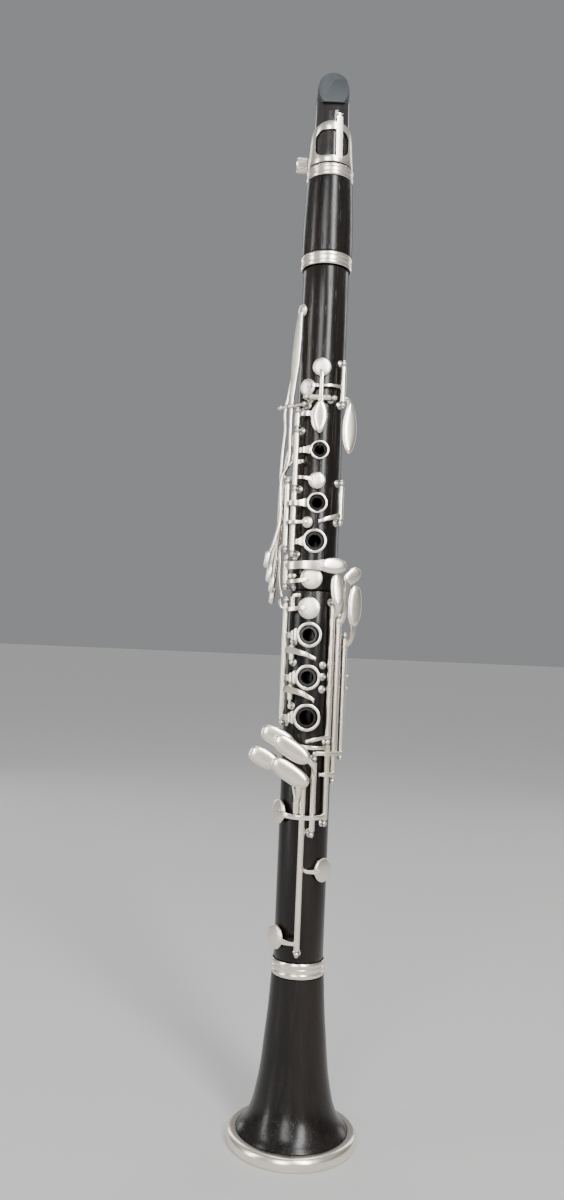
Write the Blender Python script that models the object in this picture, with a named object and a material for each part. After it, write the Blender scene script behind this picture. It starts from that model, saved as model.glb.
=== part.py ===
"""B flat soprano clarinet of the Boehm system, standing on its bell.

Lengths are in millimetres here and become metres when a mesh is made. The origin is the centre of the bell's
mouth, +Z runs up the bore to the mouthpiece, and the tone holes under the fingers face -Y. An angle round the
body is counted in degrees from that front, towards +X.
"""

import math

import bmesh
import bpy
from mathutils import Matrix, Vector

MM = 0.001

# The wooden sections, from the floor up
RIM_RADIUS = 39.4
RIM_HEIGHT = 8.2
BELL_TOP = 109.7
LOWER_TOP = 333.1
UPPER_TOP = 535.8
BARREL_TOP = 600.2
TIP = 669.0
LOWER_RADIUS = 15.2
UPPER_RADIUS = 14.4
BORE_RADIUS = 7.4
TENON_RADIUS = 11.0
TENON_LENGTH = 17.5
GAP = 0.3

# The keywork
ROD_RADIUS = 0.85
TUBE_RADIUS = 1.8
TUBE_BORE = 1.25
BALL_RADIUS = 1.7
PILLAR_RADIUS = 1.15
ARM_RADIUS = 0.8
CUP_HEIGHT = 2.8
CLOSED_LIFT = 0.4
OPEN_LIFT = 1.7
RING_HEIGHT = 1.1
ROUND_SIDES = 32
TUBE_SIDES = 8

# Hinge lines that run along the body: (x, y)
LINE_INNER = (-14.3, -12.3)
LINE_OUTER = (-18.6, -7.8)
LINE_C_SHARP = (-17.6, -11.0)
LINE_G_SHARP = (12.9, -11.5)
LINE_UPPER_SLIVER = (14.2, -11.3)
LINE_THUMB = (12.6, 12.6)
LINE_RINGS = (-16.6, -10.0)
LINE_SLIVERS = (-12.0, -12.6)
LINE_LONG_1 = (11.7, -13.2)
LINE_LONG_2 = (15.8, -11.3)
LINE_LONG_3 = (20.2, -6.5)
LINE_CENTRE = (-2.0, -18.8)
LINE_E_FLAT = (4.0, -18.3)
LINE_F = (-5.8, -18.4)

# Hinge lines that run across the body: (start, end)
LINE_A = ((-9.9, -18.5, 451.0), (7.1, -18.5, 451.0))
LINE_REGISTER = ((-5.6, 18.5, 470.0), (5.6, 18.5, 470.0))
LINE_SIDE_UPPER = ((-10.8, -15.6, 447.2), (-25.06, -2.45, 447.2))
LINE_SIDE_LOWER = ((-20.8, 1.2, 404.0), (-20.8, 13.6, 404.0))

WOOD = ("grenadilla", (0.018, 0.014, 0.012, 1), 0.32, 0.0)
PLATE = ("nickel plate", (0.76, 0.72, 0.66, 1), 0.24, 1.0)
STEEL = ("blued steel rod", (0.55, 0.54, 0.52, 1), 0.3, 1.0)
EBONITE = ("ebonite", (0.012, 0.012, 0.013, 1), 0.2, 0.0)
RUBBER = ("grey rubber", (0.09, 0.11, 0.13, 1), 0.55, 0.0)
CANE = ("cane", (0.72, 0.58, 0.32, 1), 0.6, 0.0)
CORK = ("cork", (0.45, 0.3, 0.17, 1), 0.9, 0.0)


def clear_scene():
    for obj in list(bpy.data.objects):
        bpy.data.objects.remove(obj)


def collection(name, hidden=False):
    made = bpy.data.collections.new(name)
    made.hide_render = hidden
    bpy.context.scene.collection.children.link(made)
    return made


clear_scene()
PARTS = collection("clarinet")


def material(look):
    name, colour, roughness, metallic = look
    made = bpy.data.materials.get(name)
    if made is None:
        made = bpy.data.materials.new(name)
        made.use_nodes = True
        shader = made.node_tree.nodes["Principled BSDF"]
        shader.inputs["Base Color"].default_value = colour
        shader.inputs["Roughness"].default_value = roughness
        shader.inputs["Metallic"].default_value = metallic
    return made


def solid(mesh_data):
    """An object holding a bmesh, which is freed."""
    mesh = bpy.data.meshes.new("solid")
    mesh_data.to_mesh(mesh)
    mesh_data.free()
    obj = bpy.data.objects.new("solid", mesh)
    PARTS.objects.link(obj)
    return obj


def facing(direction):
    """The turn that points +Z along a direction."""
    return Vector(direction).to_track_quat("Z", "Y").to_matrix().to_4x4()


def along(line, height):
    return Vector((line[0], line[1], height))


def polar(radius, degrees, height):
    turn = math.radians(degrees)
    return Vector((radius * math.sin(turn), -radius * math.cos(turn), height))


def bar(start, end, radius, sides=TUBE_SIDES, end_radius=None):
    """A round bar or cone between two points."""
    start, end = Vector(start), Vector(end)
    span = end - start
    made = bmesh.new()
    bmesh.ops.create_cone(
        made,
        cap_ends=True,
        segments=sides,
        radius1=radius * MM,
        radius2=(radius if end_radius is None else end_radius) * MM,
        depth=span.length * MM,
    )
    place = Matrix.Translation((start + end) / 2 * MM) @ facing(span)
    bmesh.ops.transform(made, matrix=place, verts=made.verts)
    return solid(made)


def ball(centre, radius):
    made = bmesh.new()
    bmesh.ops.create_uvsphere(made, u_segments=8, v_segments=4, radius=radius * MM)
    bmesh.ops.transform(made, matrix=Matrix.Translation(Vector(centre) * MM), verts=made.verts)
    return solid(made)


def box(low, high):
    low, high = Vector(low), Vector(high)
    made = bmesh.new()
    bmesh.ops.create_cube(made, size=MM)
    place = Matrix.Translation((low + high) / 2 * MM) @ Matrix.Diagonal((*(high - low), 1))
    bmesh.ops.transform(made, matrix=place, verts=made.verts)
    return solid(made)


def turned(profile, sides=ROUND_SIDES, place=None):
    """A closed profile of (radius, height) points, down its outer side and up its inner, turned round Z."""
    made = bmesh.new()
    verts = [made.verts.new((radius * MM, 0, height * MM)) for radius, height in profile]
    made.edges.new((verts[-1], verts[0]))
    for first, second in zip(verts, verts[1:]):
        made.edges.new((first, second))
    bmesh.ops.spin(
        made,
        geom=made.verts[:] + made.edges[:],
        axis=(0, 0, 1),
        cent=(0, 0, 0),
        steps=sides,
        angle=math.tau,
        use_merge=True,
    )
    bmesh.ops.remove_doubles(made, verts=made.verts, dist=1e-6)
    bmesh.ops.recalc_face_normals(made, faces=made.faces)
    if place:
        bmesh.ops.transform(made, matrix=place, verts=made.verts)
    return solid(made)


def wire(points, radius=ARM_RADIUS):
    """A bent round arm through the points, as a closed mesh."""
    curve = bpy.data.curves.new("wire", "CURVE")
    curve.dimensions = "3D"
    curve.bevel_depth = radius * MM
    curve.bevel_resolution = 1
    curve.use_fill_caps = True
    spline = curve.splines.new("POLY")
    spline.points.add(len(points) - 1)
    for point, place in zip(spline.points, points):
        point.co = (*(Vector(place) * MM), 1)
    guide = bpy.data.objects.new("wire", curve)
    PARTS.objects.link(guide)
    graph = bpy.context.evaluated_depsgraph_get()
    mesh = bpy.data.meshes.new_from_object(guide.evaluated_get(graph))
    bpy.data.objects.remove(guide)
    made = bmesh.new()
    made.from_mesh(mesh)
    bmesh.ops.remove_doubles(made, verts=made.verts, dist=1e-6)
    bmesh.ops.recalc_face_normals(made, faces=made.faces)
    return solid(made)


def lofted(rows):
    """A closed mesh through rings of points, all with the same count, capped at both ends."""
    made = bmesh.new()
    rings = [[made.verts.new(Vector(point) * MM) for point in row] for row in rows]
    count = len(rings[0])
    for first, second in zip(rings, rings[1:]):
        for index in range(count):
            after = (index + 1) % count
            made.faces.new((first[index], first[after], second[after], second[index]))
    made.faces.new(rings[0])
    made.faces.new(rings[-1])
    bmesh.ops.recalc_face_normals(made, faces=made.faces)
    return solid(made)


def ribbon(points, across, thickness):
    """A flat strap through (x, y, z, width) points, its width along one fixed direction."""
    across = Vector(across).normalized()
    rows = []
    for index, (x, y, z, width) in enumerate(points):
        before = Vector(points[max(index - 1, 0)][:3])
        after = Vector(points[min(index + 1, len(points) - 1)][:3])
        side = across * width / 2
        depth = (after - before).cross(across).normalized() * thickness / 2
        near, far = Vector((x, y, z)) + side, Vector((x, y, z)) - side
        rows.append((near + depth, far + depth, far - depth, near - depth))
    return lofted(rows)


def combine(base, other, operation):
    """Joins or cuts base with another solid, which is used up."""
    modifier = base.modifiers.new("cut", "BOOLEAN")
    modifier.operation = operation
    modifier.solver = "EXACT"
    modifier.object = other
    graph = bpy.context.evaluated_depsgraph_get()
    mesh = bpy.data.meshes.new_from_object(base.evaluated_get(graph))
    base.modifiers.clear()
    base.data = mesh
    bpy.data.objects.remove(other)
    return base


def forge(name, look, pieces, cuts=(), pivot=(0, 0, 0)):
    """Joins the pieces, makes the cuts, and leaves the named part with its origin on its hinge."""
    part = pieces[0]
    for piece in pieces[1:]:
        combine(part, piece, "UNION")
    for cut in cuts:
        combine(part, cut, "DIFFERENCE")
    part.name = name
    part.data.name = name
    part.data.materials.clear()
    part.data.materials.append(material(look))
    part.data.transform(Matrix.Translation(-Vector(pivot) * MM))
    part.location = Vector(pivot) * MM
    part.data.shade_smooth()
    part.data.set_sharp_from_angle(angle=math.radians(35))
    return part


# ---------------------------------------------------------------- body


def tone_hole(body, degrees, height, radius):
    """A cutter from outside the body into its bore."""
    return bar(polar(BORE_RADIUS - 3, degrees, height), polar(body + 6, degrees, height), radius, 10)


def chimney(body, degrees, height, radius, rise):
    return bar(polar(body - 2.5, degrees, height), polar(body + rise, degrees, height), radius, 14)


def bell():
    outside = [(14.8, BELL_TOP), (14.8, 100.2), (16.1, 100.1), (17.1, 83), (18.8, 64), (20.6, 45)]
    flare = [(22.8, 31), (25.2, 21), (28.3, 15), (31.5, 11), (33.8, RIM_HEIGHT), (33.8, 0.5)]
    mouth = [(31.2, 0.5), (27.0, 9), (21.5, 20), (16.5, 36), (13.0, 58), (11.0, 80)]
    socket = [(10.3, 91), (TENON_RADIUS + GAP, 91.2), (TENON_RADIUS + GAP, BELL_TOP)]
    forge("bell", WOOD, [turned(outside + flare + mouth + socket)])
    rim = [(34.2, RIM_HEIGHT), (36.8, RIM_HEIGHT), (38.6, 6.9), (RIM_RADIUS, 4.2), (39.2, 1.3), (38.2, 0)]
    rim.append((34.2, 0))
    forge("bell_rim_ring", PLATE, [turned(rim, 40)])
    forge("bell_socket_ring", PLATE, [turned(grooved_ring(15.2, 16.3, 100.5, BELL_TOP))])


def grooved_ring(inner, outer, low, high):
    """A ferrule's section: two rounded beads with a groove between them."""
    step = (high - low) / 6
    beads = [(outer - 0.3, high), (outer, high - step), (outer - 0.4, (high + low) / 2), (outer, low + step)]
    return [*beads, (outer - 0.3, low), (inner, low), (inner, high)]


def lower_joint():
    radius, tenon = LOWER_RADIUS, TENON_RADIUS
    low = BELL_TOP - TENON_LENGTH
    outside = [(radius, LOWER_TOP), (radius, BELL_TOP + GAP), (tenon, BELL_TOP + GAP), (tenon, low)]
    inside = [(9.6, low), (BORE_RADIUS, 200), (BORE_RADIUS, LOWER_TOP - TENON_LENGTH - 1)]
    socket = [(tenon + 0.9, LOWER_TOP - TENON_LENGTH - 0.9), (tenon + 0.9, LOWER_TOP)]
    holes = ((-8, 306.1, 5.2, 3.6), (-7.5, 280.4, 5.2, 3.6), (-6, 256.3, 5.8, 4.2))
    pieces = [turned(outside + inside + socket)]
    pieces += [chimney(radius, degrees, height, wide, 1.7) for degrees, height, wide, _ in holes]
    cuts = [tone_hole(radius, degrees, height, bore) for degrees, height, _, bore in holes]
    covered = ((-62, 198.6, 5), (46, 165, 5), (-56, 124, 5), (-30, 222, 2.8))
    cuts += [tone_hole(radius, degrees, height, bore) for degrees, height, bore in covered]
    forge("lower_joint", WOOD, pieces, cuts)


def upper_joint():
    radius, tenon, low = UPPER_RADIUS, TENON_RADIUS, LOWER_TOP + GAP
    top = UPPER_TOP + TENON_LENGTH
    outside = [(tenon, top), (tenon, UPPER_TOP), (radius, UPPER_TOP), (radius, low), (tenon + 0.5, low)]
    inside = [(tenon + 0.5, low - TENON_LENGTH), (BORE_RADIUS, low - TENON_LENGTH), (BORE_RADIUS, top)]
    holes = ((-1, 419.3, 4.1, 2.7), (-2, 386.7, 4.2, 3.0), (-4, 363.3, 5.2, 3.7), (180, 413, 4.2, 3))
    pieces = [turned(outside + inside)]
    pieces += [chimney(radius, degrees, height, wide, 1.6) for degrees, height, wide, _ in holes]
    cuts = [tone_hole(radius, degrees, height, bore) for degrees, height, _, bore in holes]
    covered = ((-3, 470.7, 2.6), (-34, 458.4, 2.6), (-4, 400.3, 2.4), (-7, 340.5, 3.2), (180, 512, 1.5))
    side = ((-60, 508, 2.2), (-100, 490, 2.2), (-103, 428, 2.2), (-118, 420, 2.2))
    cuts += [tone_hole(radius, degrees, height, bore) for degrees, height, bore in covered + side]
    forge("upper_joint", WOOD, pieces, cuts)


def barrel():
    low, high = UPPER_TOP + GAP, BARREL_TOP
    socket = TENON_RADIUS + 0.5
    outside = [(13.6, high), (13.6, high - 7.4), (14.4, high - 7.5), (15.1, 580), (15.9, 560)]
    outside += [(15.8, low + 8.2), (15.0, low + 8.1), (15.0, low)]
    lower = [(socket, low), (socket, low + TENON_LENGTH + 0.6)]
    upper = [(BORE_RADIUS, low + 18.3), (BORE_RADIUS, high - 18.5), (socket, high - 18.3), (socket, high)]
    forge("barrel", WOOD, [turned(outside + lower + upper)])
    forge("barrel_upper_ring", PLATE, [turned(grooved_ring(13.9, 14.8, high - 7.2, high))])
    forge("barrel_lower_ring", PLATE, [turned(grooved_ring(15.3, 16.1, low, low + 7.9))])


def tenon_corks():
    places = (
        ("mouthpiece_tenon_cork", 584.5, TENON_RADIUS),
        ("upper_tenon_cork", UPPER_TOP + 3, TENON_RADIUS),
        ("middle_tenon_cork", LOWER_TOP - 13, TENON_RADIUS + 0.5),
    )
    for name, low, tenon in places:
        inner, outer = tenon + 0.12, tenon + 0.36
        forge(name, CORK, [turned([(outer, low + 11), (outer, low), (inner, low), (inner, low + 11)])])


# ---------------------------------------------------------------- mouthpiece

BEAK_LOW = 633.0
BEAK_SLOPE = 26.0
TABLE = 8.4


def mouthpiece_blank(grow, bottom):
    """The turned blank that the beak and the reed's table are cut from."""
    line = [(0.4, TIP), (3.2, 667.9), (6.4, 664.5), (9.0, 658), (10.5, 650), (11.0, 636), (11.7, 620)]
    line.append((12.9, 601))
    points = [(radius + grow, height) for radius, height in line if height >= bottom]
    return [(0, points[0][1])] + points


def beyond_beak(offset):
    """A block in front of the sloping beak, lifted off it by the offset."""
    made = bmesh.new()
    bmesh.ops.create_cube(made, size=80 * MM)
    lean = Matrix.Rotation(math.radians(-BEAK_SLOPE), 4, "X")
    edge = Vector((0, -12.2, BEAK_LOW))
    place = Matrix.Translation(edge * MM) @ lean @ Matrix.Translation(Vector((0, -40 - offset, 0)) * MM)
    bmesh.ops.transform(made, matrix=place, verts=made.verts)
    return solid(made)


def mouthpiece():
    profile = mouthpiece_blank(0, 600) + [(TENON_RADIUS, 600.6), (TENON_RADIUS, 583.3), (0, 583.3)]
    blank = turned(profile)
    window = box((-5.2, 0, 634), (5.2, 14, 661))
    table = box((-20, TABLE, 600.8), (20, 30, 680))
    bore = bar((0, 0, 570), (0, 0, 645), 6.8, 20, 5.2)
    forge("mouthpiece", EBONITE, [blank], [beyond_beak(0), table, bore, window])

    cover = turned(mouthpiece_blank(0.5, 600) + [(12, 600), (0, 600)], 28)
    behind = box((-30, TABLE - 1.2, 560), (30, 40, 700))
    under = box((-30, -40, 560), (30, 40, 641.5))
    sheet = forge("beak_patch", RUBBER, [cover], [beyond_beak(1.5), behind, under])
    keep = beyond_beak(GAP)
    combine(sheet, keep, "INTERSECT")


def reed():
    low, back = 601.2, TABLE + 0.3
    blank = bar((0, 2.5, low), (0, 2.5, 668.2), 9.0, 24)
    sides = [box((6.3, -20, 590), (30, 40, 680)), box((-30, -20, 590), (-6.3, 40, 680))]
    front = box((-30, -20, 590), (30, back, 680))
    made = bmesh.new()
    bmesh.ops.create_cube(made, size=60 * MM)
    lean = Matrix.Rotation(math.radians(3.6), 4, "X")
    bark_end = Matrix.Translation(Vector((0, 11.5, 632)) * MM)
    place = bark_end @ lean @ Matrix.Translation(Vector((0, 30, 30)) * MM)
    bmesh.ops.transform(made, matrix=place, verts=made.verts)
    forge("reed", CANE, [blank], [*sides, front, solid(made)])


def ligature():
    low, high, screw = 601.4, 631.0, 612.4
    outside = [(12.1, high), (12.6, 626), (14.0, 606), (14.0, low)]
    inside = [(13.4, low), (13.4, 606), (12.0, 626), (11.6, high)]
    shell = turned(outside + inside, 36)
    window = bar((0, -18, 613.2), (0, -6, 613.2), 8.2, 20)
    window.data.transform(Matrix.Diagonal((1.3, 1, 1, 1)))
    saddle = bar((0, -20, 645.4), (0, 20, 645.4), 19.4, 40)
    slot = box((-2.2, 5, 590), (2.2, 30, 640))
    frame = forge("ligature", PLATE, [shell], [window, saddle, slot])
    spine = [(4.4, -13.1, low + 2, 4.4), (4.3, -12.1, 620, 4.4), (4.2, -11.6, 633.6, 4.4)]
    tab = ribbon(spine, (1, 0.3, 0), 1.0)
    lugs = [box((side - 1.3, 11.6, screw - 3.5), (side + 1.3, 17.6, screw + 3.5)) for side in (-4.2, 4.2)]
    for piece in (tab, *lugs):
        combine(frame, piece, "UNION")
    combine(frame, bar((-15, 15.6, screw), (15, 15.6, screw), 1.5, 10), "DIFFERENCE")

    head = bar((-21.6, 15.6, screw), (-14.2, 15.6, screw), 5.0, 16)
    shank = bar((-14.5, 15.6, screw), (8.4, 15.6, screw), 1.1)
    forge("ligature_screw", PLATE, [head, shank], pivot=(-14, 15.6, screw))


# ---------------------------------------------------------------- keywork pieces


def posts_and_rod(name, body, start, end, between=(), ball_radius=BALL_RADIUS):
    """A steel rod carried by ball-headed pillars that stand on the body."""
    start, end = Vector(start), Vector(end)
    pieces = [bar(start, end, ROD_RADIUS, 6)]
    heads = [start, end] + [Vector((start.x, start.y, height)) for height in between]
    for head in heads:
        outward = Vector((head.x, head.y, 0)).normalized()
        foot = outward * (body + 0.45)
        foot.z = head.z
        pieces.append(ball(head, ball_radius))
        pieces.append(bar(foot, head, PILLAR_RADIUS, 6))
    forge(name, STEEL, pieces)


def tube(line, low, high):
    return bar(along(line, low), along(line, high), TUBE_RADIUS)


def hinged(name, pieces, start, end):
    """A key on a rod: its pieces are joined and then bored for the rod."""
    start, end = Vector(start), Vector(end)
    reach = (end - start).normalized() * 3
    bore = bar(start - reach, end + reach, TUBE_BORE, 6)
    forge(name, PLATE, pieces, [bore], (start + end) / 2)


def key(name, line, low, high, pieces):
    """A key whose tube runs along the body."""
    pieces = [tube(line, low, high), *pieces]
    hinged(name, pieces, along(line, low), along(line, high))


def cup(body, degrees, height, radius, lift=CLOSED_LIFT):
    """A padded cup over a tone hole, its pad this far off the wood."""
    pad = polar(body + lift, degrees, height)
    shoulder = polar(body + lift + CUP_HEIGHT * 0.7, degrees, height)
    crown = polar(body + lift + CUP_HEIGHT, degrees, height)
    lower = bar(pad, shoulder, radius, 14)
    return [lower, bar(shoulder - (crown - shoulder) * 0.3, crown, radius * 0.99, 14, radius * 0.7)]


def finger_ring(centre_x, height, front, inner, outer, side=-1):
    """A flat ring round a tone hole, on the front (-1) or the back (1)."""
    half = RING_HEIGHT / 2
    section = [(outer, half), (outer, -half), (inner, -half), (inner, half)]
    centre = Vector((centre_x, side * front, height))
    place = Matrix.Translation(centre * MM) @ Matrix.Rotation(math.pi / 2, 4, "X")
    return turned(section, 16, place)


def touch(centre, tip, width, thickness, normal, squareness=2.0, taper=0.0):
    """A domed finger plate, given its centre and one tip.

    Squareness above 2 fills out its ends, and taper narrows the tip against the other end.
    """
    centre, tip, normal = Vector(centre), Vector(tip), Vector(normal).normalized()
    forward = (tip - centre).normalized()
    normal = (normal - forward * normal.dot(forward)).normalized()
    side = forward.cross(normal)
    length = (tip - centre).length
    rows = []
    for rise, share in ((-0.5, 0.72), (-0.12, 1.0), (0.22, 0.94), (0.5, 0.6)):
        row = []
        for index in range(12):
            turn = math.tau * (index + 0.5) / 12
            reach = math.copysign(abs(math.cos(turn)) ** (2 / squareness), math.cos(turn))
            spread = math.copysign(abs(math.sin(turn)) ** (2 / squareness), math.sin(turn))
            spread *= 1 - taper * reach
            inset = width / 2 * (1 - share)
            row.append(
                centre
                + forward * reach * (length - inset)
                + side * spread * (width / 2 - inset)
                + normal * rise * thickness
            )
        rows.append(row)
    return lofted(rows)


# ---------------------------------------------------------------- upper joint keys


def throat_keys():
    body = UPPER_RADIUS
    posts_and_rod("a_key_posts_and_rod", body, *LINE_A)
    start, end = (-7.6, -18.5, 451), (4.9, -18.5, 451)
    arm = wire([(-0.9, -y, z) for y, z in ((17.6, 468), (19.6, 462), (19.6, 455), (19.2, 449), (19.9, 444))])
    plate = touch((-1.0, -19.9, 438.4), (-1.0, -19.6, 429.2), 9.0, 2.0, (0, -1, 0), 2.0, 0.12)
    hinged("throat_a_key", [bar(start, end, TUBE_RADIUS), *cup(body, -3, 470.7, 5.7), arm, plate], start, end)

    line = LINE_G_SHARP
    posts_and_rod("g_sharp_key_posts_and_rod", body, along(line, 448.6), along(line, 474.6))
    under = [(9, -14.4, 459.6), (4, -16.3, 459.4), (-1, -16.4, 459), (-5.5, -16, 458.8), (-8.6, -14.8, 458.5)]
    arm = wire([along(line, 459.6), *under], 0.7)
    stem = wire([along(line, 453.5), (16.6, -12.3, 451.5), (17.4, -12.8, 446)], 0.9)
    plate = touch((17.6, -12.8, 434.5), (17.6, -12.8, 418), 8.8, 2.0, (0.42, -0.9, 0), 2.0, 0.1)
    key("throat_g_sharp_key", line, 450.6, 472.6, [arm, stem, plate, *cup(body, -34, 458.4, 5.2)])


def left_hand_rings():
    body, line = UPPER_RADIUS, LINE_INNER
    front = body + 1.5 + RING_HEIGHT / 2
    low, high = along(line, 355.2), along(line, 443.9)
    posts_and_rod("inner_line_posts_and_rod", body, low, high, (395.4, 431.8), 1.5)
    leaf = touch((-2.2, -17.3, 438.5), (-1.6, -17.3, 430.5), 8.4, 1.2, (0, -1, 0))
    arm = wire([along(line, 441), (-10.5, -16.4, 441.2), (-5, -17.3, 441)], 0.75)
    key("throat_link_key", line, 434, 442, [arm, leaf])

    arm = wire([along(line, 418.7), (-11, -16, 418.8), (-5.2, -front, 419.2)])
    small = wire([along(line, 402.4), (-10.5, -16.4, 402), (-4.8, -16.9, 400.8)])
    lug = wire([along(line, 411.8), (-10.8, -15.7, 411.8)], 0.7)
    head = ball((-10.6, -15.9, 411.8), 1.4)
    ring = finger_ring(-0.3, 419.3, front, 4.7, 5.9)
    pieces = [arm, small, lug, head, ring, *cup(body, -4, 400.3, 5.2, OPEN_LIFT)]
    key("first_ring_key", line, 397.3, 429.9, pieces)

    arm = wire([along(line, 362.4), (-11.3, -16, 362.6), (-7.6, -front, 363)])
    ring = finger_ring(-1.1, 363.3, front, 5.9, 7.4)
    key("third_ring_key", line, 357.1, 393.4, [arm, ring])

    line = LINE_OUTER
    posts_and_rod("outer_line_posts_and_rod", body, along(line, 358.4), along(line, 400.6))
    over = [(-19, -13.8, 385.9), (-15, -18, 385.9), (-9.4, -18, 386.2)]
    arm = wire([along(line, 385.9), *over, (-6, -front, 386.4)])
    over = [(-19, -13.8, 374.2), (-15, -18, 374.2), (-9.5, -18.4, 374.3)]
    small = wire([along(line, 374.2), *over, (-5.4, -16.9, 374.6)])
    bridge = wire([along(line, 361.5), (-21.6, -5.6, 360.3), (-21.4, -5.7, 338), (-19.6, -7.2, 329)], 0.85)
    ring = finger_ring(-0.5, 386.7, front, 5.1, 6.4)
    pieces = [arm, small, bridge, ring, *cup(body, -20, 374.6, 3.5, OPEN_LIFT)]
    key("second_ring_key", line, 360.4, 398.6, pieces)


def thumb_ring():
    body, line = UPPER_RADIUS, LINE_THUMB
    front = body + 1.5 + RING_HEIGHT / 2
    posts_and_rod("thumb_ring_posts_and_rod", body, along(line, 404.4), along(line, 421.6))
    arm = wire([along(line, 413), (9.6, 15.6, 413), (5.6, front, 413)])
    key("thumb_ring_key", line, 406.4, 419.6, [arm, finger_ring(0, 413, front, 4.8, 6, 1)])


def register_key():
    body = UPPER_RADIUS
    posts_and_rod("register_key_posts_and_rod", body, *LINE_REGISTER)
    start, end = (-3.5, 18.5, 470), (3.5, 18.5, 470)
    arm = wire([(0, 17.3, 511), (0, 19.2, 503), (0, 19.2, 470), (0.6, 19.4, 448), (1.2, 19.5, 440)], 0.9)
    plate = touch((1.4, 19.4, 435), (1.6, 19.2, 427), 7, 1.8, (0, 1, 0))
    hinged("register_key", [bar(start, end, TUBE_RADIUS), arm, plate, *cup(body, 180, 512, 3.4)], start, end)


def side_keys():
    body = UPPER_RADIUS
    posts_and_rod("side_key_upper_posts_and_rod", body, *LINE_SIDE_UPPER)
    posts_and_rod("side_key_lower_posts_and_rod", body, *LINE_SIDE_LOWER)
    slanted, flat = (0.72, -0.69, 0), (0.3, -0.95, 0)
    path_1 = [(-15.2, -8.6, 506, 2.6), (-16.2, -9, 488, 3), (-17.4, -8.8, 468, 3), (-18.6, -8.4, 453, 2.6)]
    path_1 += [(-18.6, -8.4, 430, 2.4), (-19, -8.6, 409, 2.4), (-22.7, -7.5, 401, 2.4)]
    path_1 += [(-22.5, -7.4, 374, 2.6), (-28.6, -8.2, 354, 2.6)]
    path_2 = [(-16.9, 1.9, 491, 2.2), (-18.4, 0.4, 484, 2.2), (-21.2, -5.9, 455, 2.2)]
    path_2 += [(-21.2, -5.9, 441, 2.2), (-23.3, -3.5, 425, 2.2), (-23.3, -3, 374, 2.4)]
    path_2.append((-27.2, -3.2, 347, 2.4))
    path_3 = [(-16.6, 3.9, 427, 2.2), (-18.4, 4.4, 422.8, 2.2), (-20.8, 4.8, 411, 2.2)]
    path_3 += [(-20.8, 4.8, 397, 2.2), (-22.2, 2.6, 376, 2.4), (-25.2, 1.8, 340, 2.4)]
    path_4 = [(-15, 8, 417.4, 2.2), (-17.2, 8.8, 414.6, 2.2), (-20.8, 9.1, 409, 2.2), (-20.8, 9.1, 397, 2.2)]
    path_4 += [(-21.6, 6.8, 372, 2.4), (-24.8, 6.2, 334, 2.4)]
    upper, lower = LINE_SIDE_UPPER, LINE_SIDE_LOWER
    keys = (
        ("side_key_1", upper, 10.6, slanted, (-62, 508, 4.2), (-29.6, -8.4, 351.5), path_1),
        ("side_key_2", upper, 14.2, flat, (-98, 492, 4.2), (-28.0, -3.4, 343), path_2),
        ("side_key_3", lower, 3.6, flat, (-103, 428, 4.2), (-26.0, 1.6, 337), path_3),
        ("side_key_4", lower, 7.9, flat, (-118, 418, 4.2), (-25.4, 6.0, 330), path_4),
    )
    for name, (first, last), along_rod, across, (degrees, height, radius), plate, path in keys:
        axis = (Vector(last) - Vector(first)).normalized()
        start, end = (Vector(first) + axis * (along_rod + half) for half in (-1.3, 1.3))
        tip = Vector(plate) - Vector((0.6, 0, 5.2))
        pieces = [bar(start, end, TUBE_RADIUS), ribbon(path, across, 1.5)]
        pieces += [touch(plate, tip, 3.4, 1.7, (-1, 0, 0)), *cup(body, degrees, height, radius)]
        hinged(name, pieces, start, end)


def upper_sliver_key():
    body, line = UPPER_RADIUS, LINE_UPPER_SLIVER
    posts_and_rod("upper_sliver_posts_and_rod", body, along(line, 375.6), along(line, 400))
    arm = wire([along(line, 379.4), (10, -15.8, 378.4), (4.5, -17.7, 376.6), (0.8, -17.6, 375.2)], 1.0)
    key("upper_sliver_key", line, 377.6, 398, [arm])


def c_sharp_key():
    body, line = UPPER_RADIUS, LINE_C_SHARP
    posts_and_rod("c_sharp_key_posts_and_rod", body, along(line, 335.1), along(line, 352.6))
    path = [(*line, 347.8, 3.6), (-15.6, -15.8, 347.8, 4.6), (-9, -19.8, 348.2, 5), (-1, -20.9, 348.3, 5.2)]
    strap = ribbon(path + [(7, -20.2, 348.4, 6.4)], (0, 0, 1), 1.5)
    plate = touch((10.8, -19.2, 348.4), (18.8, -17.2, 348.6), 8.4, 2.4, (0.25, -1, 0), 2.6)
    arm = wire([along(line, 338.2), (-14, -15.4, 338.3), (-7.4, -17, 339.4)])
    lug = wire([along(line, 341.6), (-12.7, -15.9, 341.6)], 0.7)
    head = ball((-12.5, -16, 341.6), 1.4)
    pieces = [strap, plate, arm, lug, head, *cup(body, -7, 340.5, 6.7, OPEN_LIFT)]
    key("c_sharp_key", line, 337.1, 350.6, pieces)


# ---------------------------------------------------------------- lower joint keys


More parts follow.
